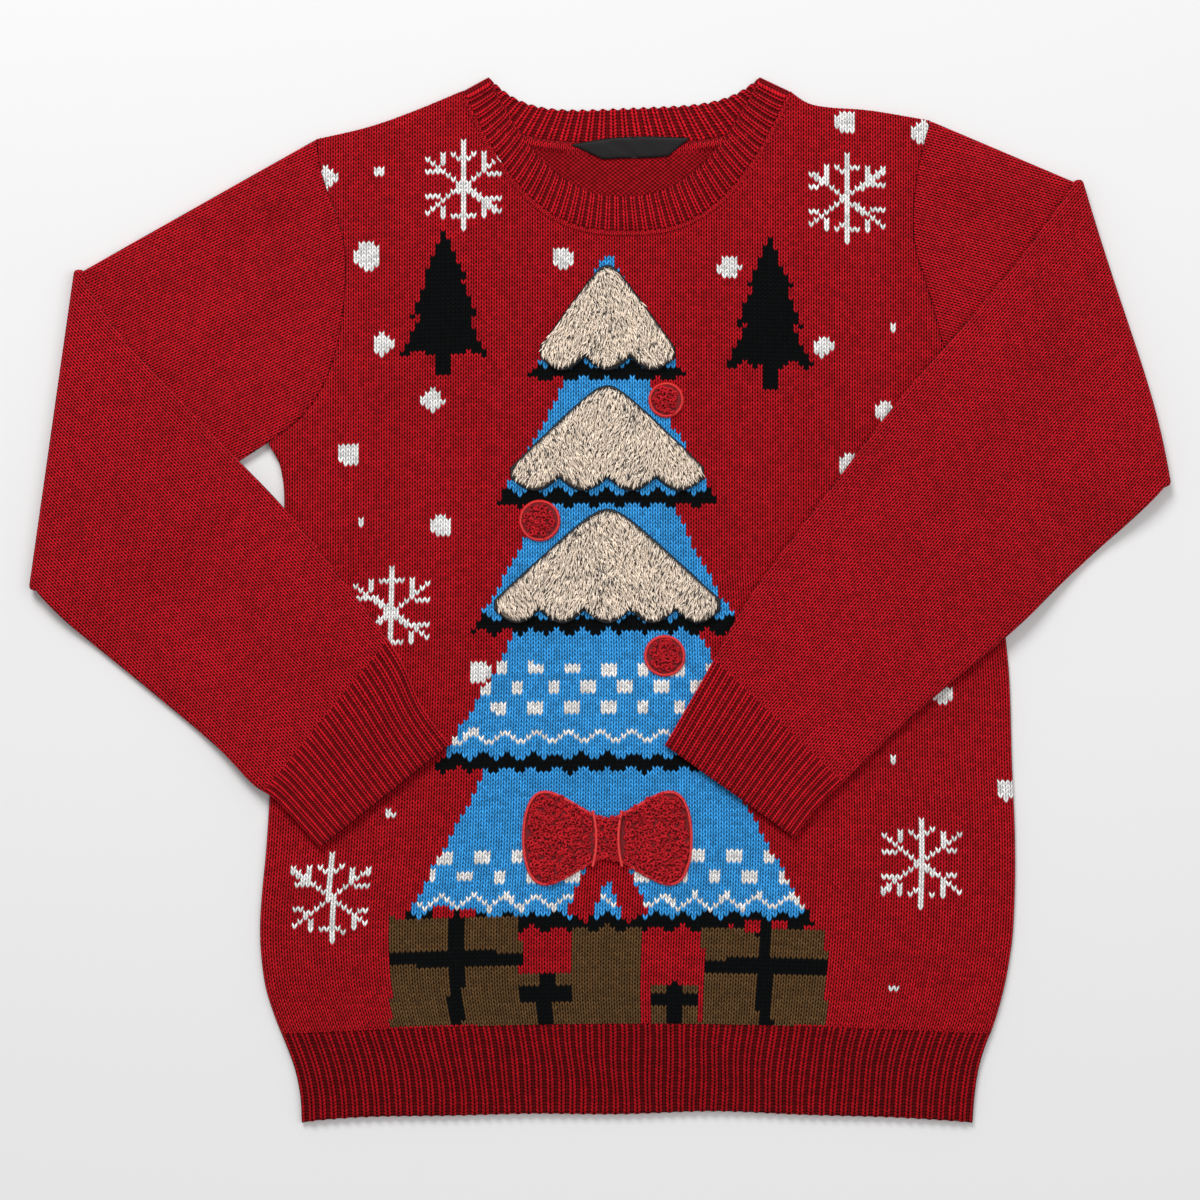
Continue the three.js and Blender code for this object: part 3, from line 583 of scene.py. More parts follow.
def picture_yarns(x, y):
    """Colour of each stitch of the front, from the place of its middle."""
    yarns = np.empty(x.shape + (3,))
    yarns[:] = RED

    def knit_in(mask, colour):
        yarns[mask] = colour

    for middle_x, middle_y in SNOWFLAKES:
        knit_in(snowflake(x, y, middle_x, middle_y), WHITE)
    for middle_x, middle_y, radius in DOTS:
        knit_in(np.hypot(x - middle_x, y - middle_y) < radius, WHITE)
    for middle, bottom, half, height in FAR_FIRS:
        tiers = [
            (bottom + height * top, bottom + height * base, half * start, half * end)
            for top, base, start, end in [
                (1.0, 0.62, 0.05, 0.52), (0.74, 0.34, 0.3, 0.76), (0.46, 0.08, 0.42, 1.0)
            ]
        ]
        knit_in(fir(x, y, middle, tiers), BLACK)
        knit_in((np.abs(x - middle) < 5) & (y > bottom - 6) & (y < bottom + 12), BLACK)
    knit_in((np.abs(x - TREE_X) < TRUNK_HALF) & (y < TRUNK_TOP) & (y > FOOT), BROWN)
    for tier in reversed(TIERS):
        body = fir(x, y, TREE_X, [tier])
        knit_in(body, BLUE)
        fringe = 9 + 12 * np.abs(((x - TREE_X) / POINT_PITCH) % 1 - 0.5)
        knit_in(body & (y < tier[1] + fringe), BLACK)
    body = fir(x, y, TREE_X, TIERS[3:])
    for middle_y, half_height, pitch in ZIGZAGS:
        line = middle_y + half_height * (4 * np.abs((x / pitch) % 1 - 0.5) - 1)
        knit_in(body & (np.abs(y - line) < 1.7), WHITE)
    for low, rows in CHECK_ROWS:
        for row in range(rows):
            aside = (x - TREE_X) / CHECK_PITCH[0] + 0.5 * (row % 2)
            check = np.abs(aside - np.round(aside)) * CHECK_PITCH[0] < CHECK_HALF[0]
            level = np.abs(y - low - row * CHECK_PITCH[1]) < CHECK_HALF[1]
            knit_in(body & check & level, WHITE)
    # tails of the bow
    away = np.abs(x - TREE_X)
    below = BOW_TAIL_TOP - y
    knit_in((below > 0) & (below < 58 - 0.5 * away) & (np.abs(away - 0.42 * below) < 9), RED)
    for middle, bottom, half, height in PRESENTS:
        inside = (np.abs(x - middle) < half) & (y < bottom + height) & (y > bottom)
        knit_in(inside, BROWN)
        knit_in(inside & (np.abs(x - middle) < 5), BLACK)
        knit_in(inside & (np.abs(y - bottom - 0.62 * height) < 5), BLACK)
        bow = (np.abs(np.abs(x - middle) - 9) < 6) & (np.abs(y - bottom - height - 3) < 4)
        knit_in(bow, RED)
    return yarns


SPARE = 8  # wales past each side, cut away by the outline
COURSES = 232
half_wale, course = np.meshgrid(np.arange(2 * (WALES + 2 * SPARE) + 1), np.arange(-1, COURSES + 1))
u = (half_wale / 2 - SPARE) / WALES
y = rib_top(u) + (course + LEG_RISE * (half_wale % 2 == 0)) * COURSE
x = blend(wale_edge(SIDE_RIGHT, y), wale_edge(SIDE_LEFT, y), u)
x = np.clip(x, right_edge(y), left_edge(y))
y = np.maximum(np.minimum(y, top_edge(x, "front")), rib_top(u))
x = np.clip(x, right_edge(y), left_edge(y))
wide = wale_edge(SIDE_LEFT, y) - wale_edge(SIDE_RIGHT, y)
wale_number = (x - wale_edge(SIDE_RIGHT, y)) / wide * WALES
course_number = (y - rib_top(wale_number / WALES)) / COURSE
crown = 0.45 * np.where(half_wale % 2 == 0, -1, 1)
z = front_face(x, y) + crown
faces = quads(*x.shape)
corners = together(x, y).reshape(-1, 2)[faces]
diagonals = corners[:, 2] - corners[:, 0], corners[:, 3] - corners[:, 1]
area = (diagonals[0][:, 0] * diagonals[1][:, 1] - diagonals[0][:, 1] * diagonals[1][:, 0]) / 2
kept = area > 0.04 * WALE * COURSE / 2
stitch_u = (np.arange(WALES + 2 * SPARE) + 0.5 - SPARE) / WALES
stitch_course = np.arange(-1, COURSES)[:, None] + 0.5 + LEG_RISE / 2
stitch_y = rib_top(stitch_u)[None] + stitch_course * COURSE
stitch_x = blend(wale_edge(SIDE_RIGHT, stitch_y), wale_edge(SIDE_LEFT, stitch_y), stitch_u[None])
yarns = picture_yarns(stitch_x, stitch_y)
uneven = np.random.default_rng(4).uniform(0.9, 1.08, yarns.shape[:2] + (1,))
yarns = np.repeat(yarns * uneven, 2, axis=1).reshape(-1, 3)
points, faces, stitches, owner = rimmed(
    together(x, y, z), faces[kept],
    together(wale_number, course_number), course_number > 0.2,
)
front = cloth_mesh(
    "front_panel", points, faces, stitches, np.concatenate([yarns[kept], yarns[kept][owner]])
)
front.data.materials.append(yarn_material("front_yarns"))
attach(front, "root")
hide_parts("front")


# Hem ribs
# The front ends below in one by one rib, knitted in one with it and a little tighter, so that
# the panel blouses over it. Each rib is a wale that stands proud between two sunken ones.
HEM_RIBS = 62
RIB_POINTS = 10  # points across one rib
RIB_CREST = 0.55
RIB_HOLLOW = 1.0
RIB_COURSE = 2.3
RIB_RED = (0.61, 0.008, 0.017)
# The hem rib is coloured darker than the other ribs: painted shade, for light that falls off towards the
# bottom of the sweater
HEM_RED_IN_PAINTED_SHADE = (0.385, 0.004, 0.009)
HEM_ROWS = np.concatenate([[0, 0.008, 0.022], np.linspace(0.045, 0.955, 20), [0.98, 1]])


def rib_relief(ribs):
    """Height of ribbing, with crests at whole numbers."""
    return blend(-RIB_HOLLOW, RIB_CREST, (0.5 + 0.5 * np.cos(2 * np.pi * ribs)) ** 0.6)


hem_yarn = yarn_material("hem_yarn", HEM_RED_IN_PAINTED_SHADE, spread=1.25, parting=0.65)
share, row = np.meshgrid(np.linspace(0, 1, HEM_RIBS * RIB_POINTS + 1), HEM_ROWS)
sway = 0.0016 * np.sin(5 * row + 31 * share) * row * (1 - row) * 4
y = blend(hem_edge(share), rib_top(share), row)
x = blend(right_edge(y), left_edge(y), share + sway * np.sin(np.pi * share))
relief = rib_relief(share * HEM_RIBS) * ease(row, -0.012, 0.03) * (1 - ease(row, 0.93, 1.0))
rolled = 1 - np.sqrt(np.clip(1 - (1 - np.clip(row / 0.035, 0, 1)) ** 2, 0, 1))
z = FLAT + ridges(BODY_RIDGES, x, y) - side_roll(x, y) + relief - 2.2 * rolled - 0.25 * ease(row, 0.9, 1)
y = y - 0.4 * (1 - ease(row, 0, 0.05)) * np.cos(2 * np.pi * share * HEM_RIBS)
points, faces, stitches, _ = rimmed(
    together(x, y, z), quads(*x.shape),
    together(share * HEM_RIBS + 0.5, (y - HEM) / RIB_COURSE), row < 1,
)
hem = cloth_mesh("front_hem_rib", points, faces, stitches)
hem.data.materials.append(hem_yarn)
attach(hem, "root")
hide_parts("front")

# Back
# One knitted panel like the front, but plain red and with a shallow neck. It lies with its right
# side on the surface, so the purl side of its stitches shows inside the neck.
# The inside of the back is coloured darker than its outside: painted shade inside the neck
INSIDE_RED_IN_PAINTED_SHADE = (0.41, 0.006, 0.012)
SHOULDER_GUESS = 330  # where its rows end, corrected to the edge step by step


def panel_grid(side, columns, rows):
    """Plan points of a panel, from right to left and hem to top."""
    across, up = np.meshgrid(np.linspace(0, 1, columns), np.linspace(0, 1, rows))
    bottom = hem_edge(across)
    y = bottom + up * (SHOULDER_GUESS - bottom)
    x = blend(right_edge(y), left_edge(y), across)
    for _ in range(3):
        y = bottom + up * (top_edge(x, side) - bottom)
        x = blend(right_edge(y), left_edge(y), across)
    return x, y


def closed_wall(name, upper, lower, stitches):
    """A thin shell between two grids of points, with its rim closed."""
    rows, columns = upper.shape[:2]
    count = rows * columns
    face_up = quads(rows, columns)
    number = np.arange(count).reshape(rows, columns)
    rim = np.concatenate([number[0, :-1], number[:-1, -1], number[-1, :0:-1], number[:0:-1, 0]])
    after = np.roll(rim, -1)
    side = together(rim, rim + count, after + count, after)
    faces = np.concatenate([face_up, face_up[:, ::-1] + count, side])
    points = np.concatenate([upper.reshape(-1, 3), lower.reshape(-1, 3)])
    piece = cloth_mesh(name, points, faces, np.concatenate([stitches.reshape(-1, 2)] * 2))
    return piece, len(face_up)


x, y = panel_grid("back", 75, 101)
inner = together(x, y, KNIT)
outer = together(x, y, side_roll(x, y, 1.7, 5))
stitches = together((x + 200) / WALE, (y - HEM) / COURSE)
back, inside_faces = closed_wall("back_panel", inner, outer, stitches)
back.data.materials.append(yarn_material("back_yarn", RED))
back.data.materials.append(yarn_material("back_yarn_inside", INSIDE_RED_IN_PAINTED_SHADE, purl=1.0, gap_painted_shade=0.8))
back.data.polygons.foreach_set(
    "material_index", (np.arange(len(back.data.polygons)) < inside_faces).astype(np.int32)
)
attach(back, "root")
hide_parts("back")

# Neckband
# A strip of rib, joined to a ring and linked to the neck edge. Laid flat it turns over at both
# shoulders, so its outside shows in front and its inside at the back.
NECK_FRONT_RIBS = 46
NECK_BACK_RIBS = 28
BAND_WIDTH = 24
BAND_SCALLOP = 0.7  # how far each rib stands past the free edge
# share of the band's width, height of its upper face and of its under face, ribs that show
BAND_OUTER = [
    (0.0, 5.0, 0.4), (0.03, 5.4, 0.1), (0.1, 5.8, 0), (0.25, 6.1, 0), (0.5, 6.2, 0), (0.75, 6.1, 0),
    (0.9, 5.9, 0), (0.97, 5.5, 0.2), (1.0, 4.9, 0.7),
]
BAND_INNER = [
    (1.0, 3.9, 2.3), (0.97, 3.4, 2.75), (0.9, 3.2, 2.8), (0.6, 3.2, 2.8), (0.3, 3.2, 2.8),
    (0.08, 3.2, 2.8), (0.0, 3.3, 2.5),
]


def neck_half(edge, side, direction, reach, count):
    """Plan points evenly along one half of a neck edge."""
    turn = np.linspace(0, np.pi, 400)
    x = edge["x"] - direction * reach * np.cos(turn)
    y = neck_y(edge, x, side)
    length = np.concatenate([[0], np.cumsum(np.hypot(np.diff(x), np.diff(y)))])
    at = np.linspace(0, length[-1], count + 1)
    return np.interp(at, length, x), np.interp(at, length, y)


def band_loop(share, top, base, outer):
    """One ring of the band, its front half first, with a rounded turn at each shoulder."""
    edge = {key: blend(NECK_SEAM[key], NECK_FREE[key], share) for key in NECK_SEAM}
    radius = (top - base) / 2
    reach = edge["half"] - radius
    middle = (top + base) / 2
    front_count, back_count = NECK_FRONT_RIBS * RIB_POINTS, NECK_BACK_RIBS * RIB_POINTS
    ring, numbers = [], []
    for side, direction, count, ribs, height in [
        ("front", 1, front_count, NECK_FRONT_RIBS, top), ("back", -1, back_count, NECK_BACK_RIBS, base)
    ]:
        px, py = neck_half(edge, side, direction, reach, count)
        along = np.linspace(0, 1, count + 1)
        flat_part = ease(along, 0, 0.006) * (1 - ease(along, 0.994, 1))
        relief = (rib_relief(along * ribs) - RIB_CREST) * flat_part
        lift = relief if outer == (side == "front") else -relief
        py = py + BAND_SCALLOP * share**8 * np.cos(2 * np.pi * along * ribs) * flat_part
        ring.append(together(px, py, height + lift))
        numbers.append(along * ribs + (0 if side == "front" else NECK_FRONT_RIBS + 2))
        angle = np.radians([30, 60, 90, 120, 150])
        flat_y = np.where(angle < 1.6, py[-1], neck_y(edge, px[-1], "back" if side == "front" else "front"))
        rise = 1 if side == "front" else -1
        ring.append(together(
            edge["x"] + direction * (reach + radius * np.sin(angle)),
            blend(flat_y, edge["end"], np.sin(angle)),
            middle + rise * radius * np.cos(angle),
        ))
        numbers.append(numbers[-1][-1] + np.arange(1, 6) / 3)
    return np.concatenate(ring), np.concatenate(numbers) + 0.5


band_rings, band_stitches = [], []
for rings, outer in [(BAND_OUTER, True), (BAND_INNER, False)]:
    for share, top, base in rings:
        ring, numbers = band_loop(share, top, base, outer)
        band_rings.append(ring)
        band_stitches.append(together(numbers, share * BAND_WIDTH / RIB_COURSE))
rib_yarn = yarn_material("rib_yarn", RIB_RED, spread=1.28, parting=0.65)
band_points = np.array(band_rings)
rings, ring_size = band_points.shape[:2]
neckband = cloth_mesh(
    "neckband_rib", band_points, quads(rings + 1, ring_size, wrap=True) % (rings * ring_size),
    np.array(band_stitches), round_wales=NECK_FRONT_RIBS + NECK_BACK_RIBS + 4,
)
neckband.data.materials.append(rib_yarn)
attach(neckband, "root")
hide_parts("neckband")

# Neck seams
# Inside the back neck the overlocked seam allowance is pressed down into the panel, and in front
# the chain of the linking stands along the foot of the band.
# name, side, shares of the neck's half width, width, height, offset down, height of its base
NECK_SEAMS = [
    ("neck_seam", "back", -0.86, 0.86, 6.0, 2.3, 1.2, KNIT + 0.02),
    ("neck_link", "front", -0.985, 0.985, 3.4, 1.7, 0.6, FLAT - 0.8),
]
LINK_PITCH = 2.9
profile = np.linspace(0, 1, 7)[:, None]
seam_yarn = yarn_material("seam_yarn", RIB_RED)
for name, side, low, high, width, height, down, base in NECK_SEAMS:
    turn = np.linspace(np.arcsin(low), np.arcsin(high), 520)
    seam_x = NECK_SEAM["x"] + NECK_SEAM["half"] * np.sin(turn)
    line = together(seam_x, neck_y(NECK_SEAM, seam_x, side))
    step = np.gradient(line, axis=0)
    step /= np.linalg.norm(step, axis=1)[:, None]
    outward = together(step[:, 1], -step[:, 0])
    run = run_along(line)
    loops = 0.3 * height * np.sin(2 * np.pi * run / LINK_PITCH)
    covered = 1 - (ease(seam_x, -30, -16) * (1 - ease(seam_x, 58, 72))) * (side == "back")
    bulge = np.sin(np.pi * profile) * blend(0.2, 1, covered)
    plan = line + outward * ((down + width * (1 - profile) + 0.3 * loops)[..., None])
    tall = base + (height + loops) * bulge
    points = together(plan[..., 0], plan[..., 1], tall)
    seam = cloth_mesh(
        name, points, quads(*points.shape[:2]),
        together(run / LINK_PITCH, profile * 2),
    )
    seam.data.materials.append(seam_yarn)
    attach(seam, "root")

# Neck label
# A woven black satin loop with its ends turned under at a slant, tacked down at both ends. Its
# face is left bare.
LABEL_TOP = [(-20, 310), (0, 313.6), (18, 315.4), (40, 315.6), (61.5, 314.6)]
LABEL_BOTTOM = [(2, 300), (14, 300.6), (26, 300.8), (36, 301.2), (46, 302)]
LABEL_BASE = 3.15
LABEL_THICK = 0.75
LABEL_BLACK = (0.005, 0.0038, 0.004)
share, rise = np.meshgrid(np.linspace(0, 1, 61), np.linspace(0, 1, 11))
top_line, bottom_line = smooth_curve(LABEL_TOP)(share), smooth_curve(LABEL_BOTTOM)(share)
plan = bottom_line + (top_line - bottom_line) * rise[..., None]
pillow = np.minimum(1, 6 * np.minimum(rise, 1 - rise)) ** 0.5
pillow *= np.minimum(1, 22 * np.minimum(share, 1 - share)) ** 0.5
folds = 0.2 * np.sin(7 * share + 1) + 0.12 * np.sin(23 * share + 5 * rise) * (1 - np.abs(2 * share - 1))
height = LABEL_BASE + LABEL_THICK * (0.35 + 0.65 * pillow) + folds
upper = together(plan[..., 0], plan[..., 1], height)
lower = together(plan[..., 0], plan[..., 1], LABEL_BASE)
label, _ = closed_wall("neck_label_satin", upper, lower, plan)
satin, tree, shader = new_material("label_satin", roughness=0.45)
shader.inputs["Specular IOR Level"].default_value = 0.2
weave = shader_node(tree, "TexWave", Scale=0.9, Distortion=0.6)
weave_place = shader_node(tree, "UVMap", uv_map="stitches")
tree.links.new(weave_place.outputs["UV"], weave.inputs["Vector"])
tone = node_value(tree, "MULTIPLY_ADD", weave.outputs["Fac"], 0.6, 0.7)
tint = shader_node(tree, "VectorMath", operation="SCALE", Vector=LABEL_BLACK, Scale=tone)
tree.links.new(tint.outputs[0], shader.inputs["Base Color"])
bump = shader_node(tree, "Bump", Strength=0.3, Distance=0.2 * MM, Height=weave.outputs["Fac"])
tree.links.new(bump.outputs["Normal"], shader.inputs["Normal"])
label.data.materials.append(satin)
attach(label, "root")
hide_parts("neck_label")

# Sleeves
# Each is a knitted panel sewn to a tube and laid flat, then folded at the elbow so that the
# forearm lies across the front. Past the body it sags to the surface.
ARM_EDGE = 0.0135
FOLD_HEIGHT = FLAT + REST / 2
SAG_START = 9
SAG_END = 62
CUFF_RIBS = 19
SLEEVE_RIGHT = dict(
    name="sleeve_right", armhole=ARMHOLE_RIGHT, outward=-1,
    fold_top=(-357.5, 225), fold_bottom=(-388.5, 7), fold_bulge=0, cuff_length=54,
    upper=[
        (-352, 208), (-307.6, 160), (-264.5, 114), (-214, 62), (-168, 5), (-137, -37),
        (-121, -72), (-102, -98),
    ],
    lower=[
        (-383, 3), (-355.4, -21.6), (-309, -59.6), (-260, -100.6), (-236, -125), (-219, -137),
        (-190.4, -168),
    ],
)
SLEEVE_LEFT = dict(
    name="sleeve_left", armhole=ARMHOLE_LEFT, outward=1,
    fold_top=(328, 286.5), fold_bottom=(388.5, 78), fold_bulge=4, cuff_length=50,
    upper=[
        (319, 274), (286, 233), (250, 190), (202.4, 135.3), (150.8, 68), (103.4, 4.8),
        (68.7, -55.8), (44, -98.6),
    ],
    lower=[
        (384, 73), (350, 44), (315, 12), (279.5, -22), (214.5, -76.8), (174.6, -114.9),
        (148.6, -139.4), (132, -161),
    ],
)
FOREARM_RIDGES = [
    (-348, 146, -300, 40, 2.6, 24),
    (-262, 56, -204, -26, 2.2, 22),
    (-326, -8, -268, -56, 2.0, 20),
    (312, 206, 240, 110, 2.2, 22),
    (346, 106, 274, 26, 2.6, 24),
    (192, 46, 136, -26, 2.2, 20),
]
# Narrower creases in the face of the upper arms, and in that of the forearms
UPPER_ARM_CREASES = [
    (-206, 262, -286, 232, -1.0, 9),
    (-210, 200, -300, 142, -1.1, 10),
    (-216, 158, -268, 122, 0.8, 9),
    (-232, 122, -250, 100, -1.0, 7),
    (-250, 242, -340, 190, 0.7, 10),
    (238, 262, 290, 262, -0.8, 9),
]
FOREARM_CREASES = [
    (-364, 186, -334, 96, -1.0, 10),
    (-376, 60, -330, 0, -0.9, 10),
    (-330, 130, -262, 44, -0.9, 13),
    (-300, 20, -236, -54, -0.8, 12),
    (-226, 40, -170, -40, 0.7, 12),
    (-178, -60, -150, -88, 0.6, 12),
    (336, 240, 348, 150, -0.9, 10),
    (300, 220, 262, 168, 0.8, 12),
    (330, 120, 250, 50, -1.0, 13),
    (244, 150, 180, 66, -0.9, 13),
    (206, 0, 150, -66, 0.7, 12),
    (120, -10, 92, -60, -0.6, 11),
]


def outside(outline, x, y):
    """Distance outside a closed plan outline, 0 within it."""
    nearest = np.full(x.shape, np.inf)
    inside = np.zeros(x.shape, bool)
    for (ax, ay), (bx, by) in zip(outline, outline[1:] + outline[:1]):
        dx, dy = bx - ax, by - ay
        if dy:
            inside ^= ((ay > y) != (by > y)) & (x < dx * (y - ay) / dy + ax)
        share = np.clip(((x - ax) * dx + (y - ay) * dy) / max(dx * dx + dy * dy, 1e-9), 0, 1)
        nearest = np.minimum(nearest, np.hypot(x - ax - share * dx, y - ay - share * dy))
    return np.where(inside, 0, nearest)


def swapped(table):
    return [(x, y) for y, x in table]


BODY_OUTLINE = (
    swapped(SIDE_RIGHT) + swapped(ARMHOLE_RIGHT) + swapped(ARMHOLE_LEFT)[::-1] + swapped(SIDE_LEFT)[::-1]
)


class Sleeve:
    """Places a point of a flat sleeve tube after it has been folded. `along` runs from the
    armhole (0) to the fold (1), over it (2) and down to the cuff (3), `across` from the top edge
    to the underarm edge, and `height` from 0 underneath the upper arm to FLAT on top of it."""

    def __init__(self, spec):
        self.spec = spec
        self.upper = smooth_curve(spec["upper"])
        self.lower = smooth_curve(spec["lower"])
        self.arm_outline = swapped(spec["armhole"]) + [spec["fold_top"], spec["fold_bottom"]]
        line = np.subtract(spec["fold_bottom"], spec["fold_top"])
        normal = np.array([-line[1], line[0]]) / np.hypot(*line)
        self.normal = normal * np.sign(normal[0]) * spec["outward"]

    def armhole(self, across):
        table = self.spec["armhole"]
        y = blend(table[-1][0], table[0][0], across)
        return together(edge_x(table, y) + self.spec["outward"] * SEAM, y)

    def fold(self, across):
        out = self.spec["fold_bulge"] * np.sin(np.pi * across**2) - FOLD_HEIGHT
        line = blend(np.array(self.spec["fold_top"]), np.array(self.spec["fold_bottom"]), across[..., None])
        return line + self.normal * out[..., None]

    def forearm(self, share, across):
        """Plan of the forearm. In the cuff only its two edges are curved; ribs between them run
        straight."""
        plan = blend(self.upper(share), self.lower(share), across[..., None])
        start = 1 - self.spec["cuff_length"] / self.lower.length
        through = np.clip((share - start) / (1 - start), 0, 1)[..., None]
        for edge, near in ((self.upper, 1 - across), (self.lower, across)):
            bend = edge(share) - blend(edge(start), edge(1), through)
            plan = plan - np.where(through > 0, bend, 0) * (near - near**4)[..., None]
        return plan

    def base(self, x, y):
        bare = np.minimum(outside(BODY_OUTLINE, x, y), outside(self.arm_outline, x, y))
        return (FLAT + REST + ridges(BODY_RIDGES, x, y)) * (1 - ease(bare, SAG_START, SAG_END))

    def __call__(self, along, across, height):
        along, across, height = np.broadcast_arrays(along, across, height)
        fold = self.fold(across)
        plan = blend(self.armhole(across), fold, np.clip(along, 0, 1)[..., None])
        upper_side = ease(height / FLAT, 0.47, 0.53)
        x, y = plan[..., 0], plan[..., 1]
        face = ridges(BODY_RIDGES, x, y) + ridges(UPPER_ARM_CREASES, x, y)
        dip = 0.9 * np.exp(-((along / 0.014) ** 2))
        in_upper = together(x, y, height + upper_side * (face - dip))

        angle = np.pi * np.clip(along - 1, 0, 1)
        reach = FOLD_HEIGHT - height
        turned = fold + self.normal * (reach * np.sin(angle))[..., None]
        in_fold = np.concatenate([turned, (FOLD_HEIGHT - reach * np.cos(angle))[..., None]], axis=-1)

        share = np.clip(along - 2, 0, 1)
        straight = self.forearm(share, across)
        settled = ease(share, 0, 0.12)
        plan = blend(fold, straight, settled[..., None])
        x, y = plan[..., 0], plan[..., 1]
        face = ridges(FOREARM_RIDGES, x, y) + ridges(FOREARM_CREASES, x, y)
        lift = settled * ease((FLAT - height) / FLAT, 0.47, 0.53) * face
        in_forearm = together(x, y, self.base(x, y) + FLAT - height + lift)
        where = along[..., None]
        return np.where(where <= 1, in_upper, np.where(where < 2, in_fold, in_forearm))


def tube_ring(steps, inset=0.0):
    """Across and height round a flattened tube: one layer, a rounded edge, the other, an edge."""
    bend = np.radians([30, 60, 90, 120, 150])
    flat = np.linspace(ARM_EDGE, 1 - ARM_EDGE, steps + 1)
    radius = FLAT / 2 - inset
    round_share = ARM_EDGE * radius / (FLAT / 2)
    across = np.concatenate([
        flat, 1 - ARM_EDGE + round_share * np.sin(bend), flat[::-1], ARM_EDGE - round_share * np.sin(bend)
    ])
    height = np.concatenate([
        np.full(steps + 1, inset), FLAT / 2 - radius * np.cos(bend),
        np.full(steps + 1, FLAT - inset), FLAT / 2 + radius * np.cos(bend),
    ])
    return across, height


SLEEVE_RED = (0.57, 0.009, 0.018)
SLEEVE_STEPS = 48
CUFF_POINTS = 8
sleeve_yarn = yarn_material("sleeve_yarn", SLEEVE_RED)
for spec in (SLEEVE_RIGHT, SLEEVE_LEFT):
    sleeve = Sleeve(spec)
    cuff_start = 3 - spec["cuff_length"] / sleeve.lower.length
    stations = np.concatenate([
        [0, 0.006, 0.014], np.linspace(0.03, 1, 40), np.linspace(1, 2, 14)[1:-1],
        np.linspace(2, cuff_start, 84),
    ])
    across, height = tube_ring(SLEEVE_STEPS)
    points = sleeve(stations[:, None], across[None], height[None])
    # Wales run parallel down the middle of each half of the arm and courses square to it
    middle = points[:, SLEEVE_STEPS // 2, :2]
    stitches = np.empty(points.shape[:2] + (2,))
    for half in (stations < 1.5, stations >= 1.5):
        start, end = middle[half][[0, -1]]
        direction = (end - start) / np.linalg.norm(end - start)
        offset = points[half][..., :2] - start
        aside = offset[..., 0] * direction[1] - offset[..., 1] * direction[0]
        stitches[half] = together(aside / WALE, -offset @ direction / COURSE)
    turned = -spec["outward"]  # corner order that faces outwards
    tube = cloth_mesh(
        spec["name"] + "_knit", points, quads(*points.shape[:2], wrap=True)[:, ::turned], stitches
    )
    tube.data.materials.append(sleeve_yarn)

    # The cuff: the same tube in rib, with a rounded end and its inner wall
    across, height = tube_ring(CUFF_RIBS * CUFF_POINTS)
    inner_across, inner_height = tube_ring(CUFF_RIBS * CUFF_POINTS, KNIT)
    stations = np.concatenate([np.linspace(cuff_start, 3, 26)[:-1], [2.9965, 3]])
    ribs = (across - ARM_EDGE) / (1 - 2 * ARM_EDGE) * CUFF_RIBS
    edge_fade = ease(np.abs(across - 0.5), 0.5, 0.5 - 1.2 * ARM_EDGE)
    outer = sleeve(stations[:, None], across[None], height[None])
    top_side = np.where(height < FLAT / 2, 1.0, -1.0)
    start_fade = ease(stations, cuff_start, cuff_start + 0.02)[:, None]
    end_round = ease(stations, 2.99, 3.0)[:, None]
    outer[..., 2] += top_side * (rib_relief(ribs) * edge_fade * start_fade - 1.0 * end_round)
    inner = sleeve(np.array([2.9985, 2.98, 2.9, 2.86])[:, None], inner_across[None], inner_height[None])
    rings = np.concatenate([outer, inner])
    length = run_along(rings[:, 40])
    stitches = together(ribs + 0.5, -length[:, None] / RIB_COURSE)
    cuff = cloth_mesh(
        spec["name"] + "_cuff", rings, quads(*rings.shape[:2], wrap=True)[:, ::turned], stitches
    )
    cuff.data.materials.append(rib_yarn)
    for piece in (tube, cuff):
        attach(piece, "root")
        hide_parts(spec["name"])

# Snow banks
# Three pieces of cream pile fabric on the boughs, laid on the front and sewn down round their
# edge with a close black satin stitch. The pile leans down the sweater; some tips are dark.
# name, top and bottom Y, half width, scallops
SNOW_BANKS = [
    ("snow_upper", 228, 156, 46, 3),
    ("snow_middle", 146, 74, 66, 4),
    ("snow_lower", 62, -16, 77, 5),
]
SCALLOP_DEPTH = 9
SNOW_TIP = 7
SNOW_PEAK = 0.15  # how blunt the peak of a bank is
PILE_CREAM = np.array([0.97, 0.83, 0.69])
PILE_DARK = np.array([0.035, 0.032, 0.032])
# The pile's backing is coloured a dark brown: painted shade among the tufts
FUR_GROUND_IN_PAINTED_SHADE = (0.30, 0.24, 0.18)
FUR_BORDER = (3.2, 1.9)  # width and height of the stitched edge
GROUND_ROUGHNESS = 0.95
TUFT_SPACING = 1.2
STITCH_BLACK = (0.010, 0.010, 0.011)


def patch_base(x, y):
    return FLAT + ridges(BODY_RIDGES, x, y) + SEAM


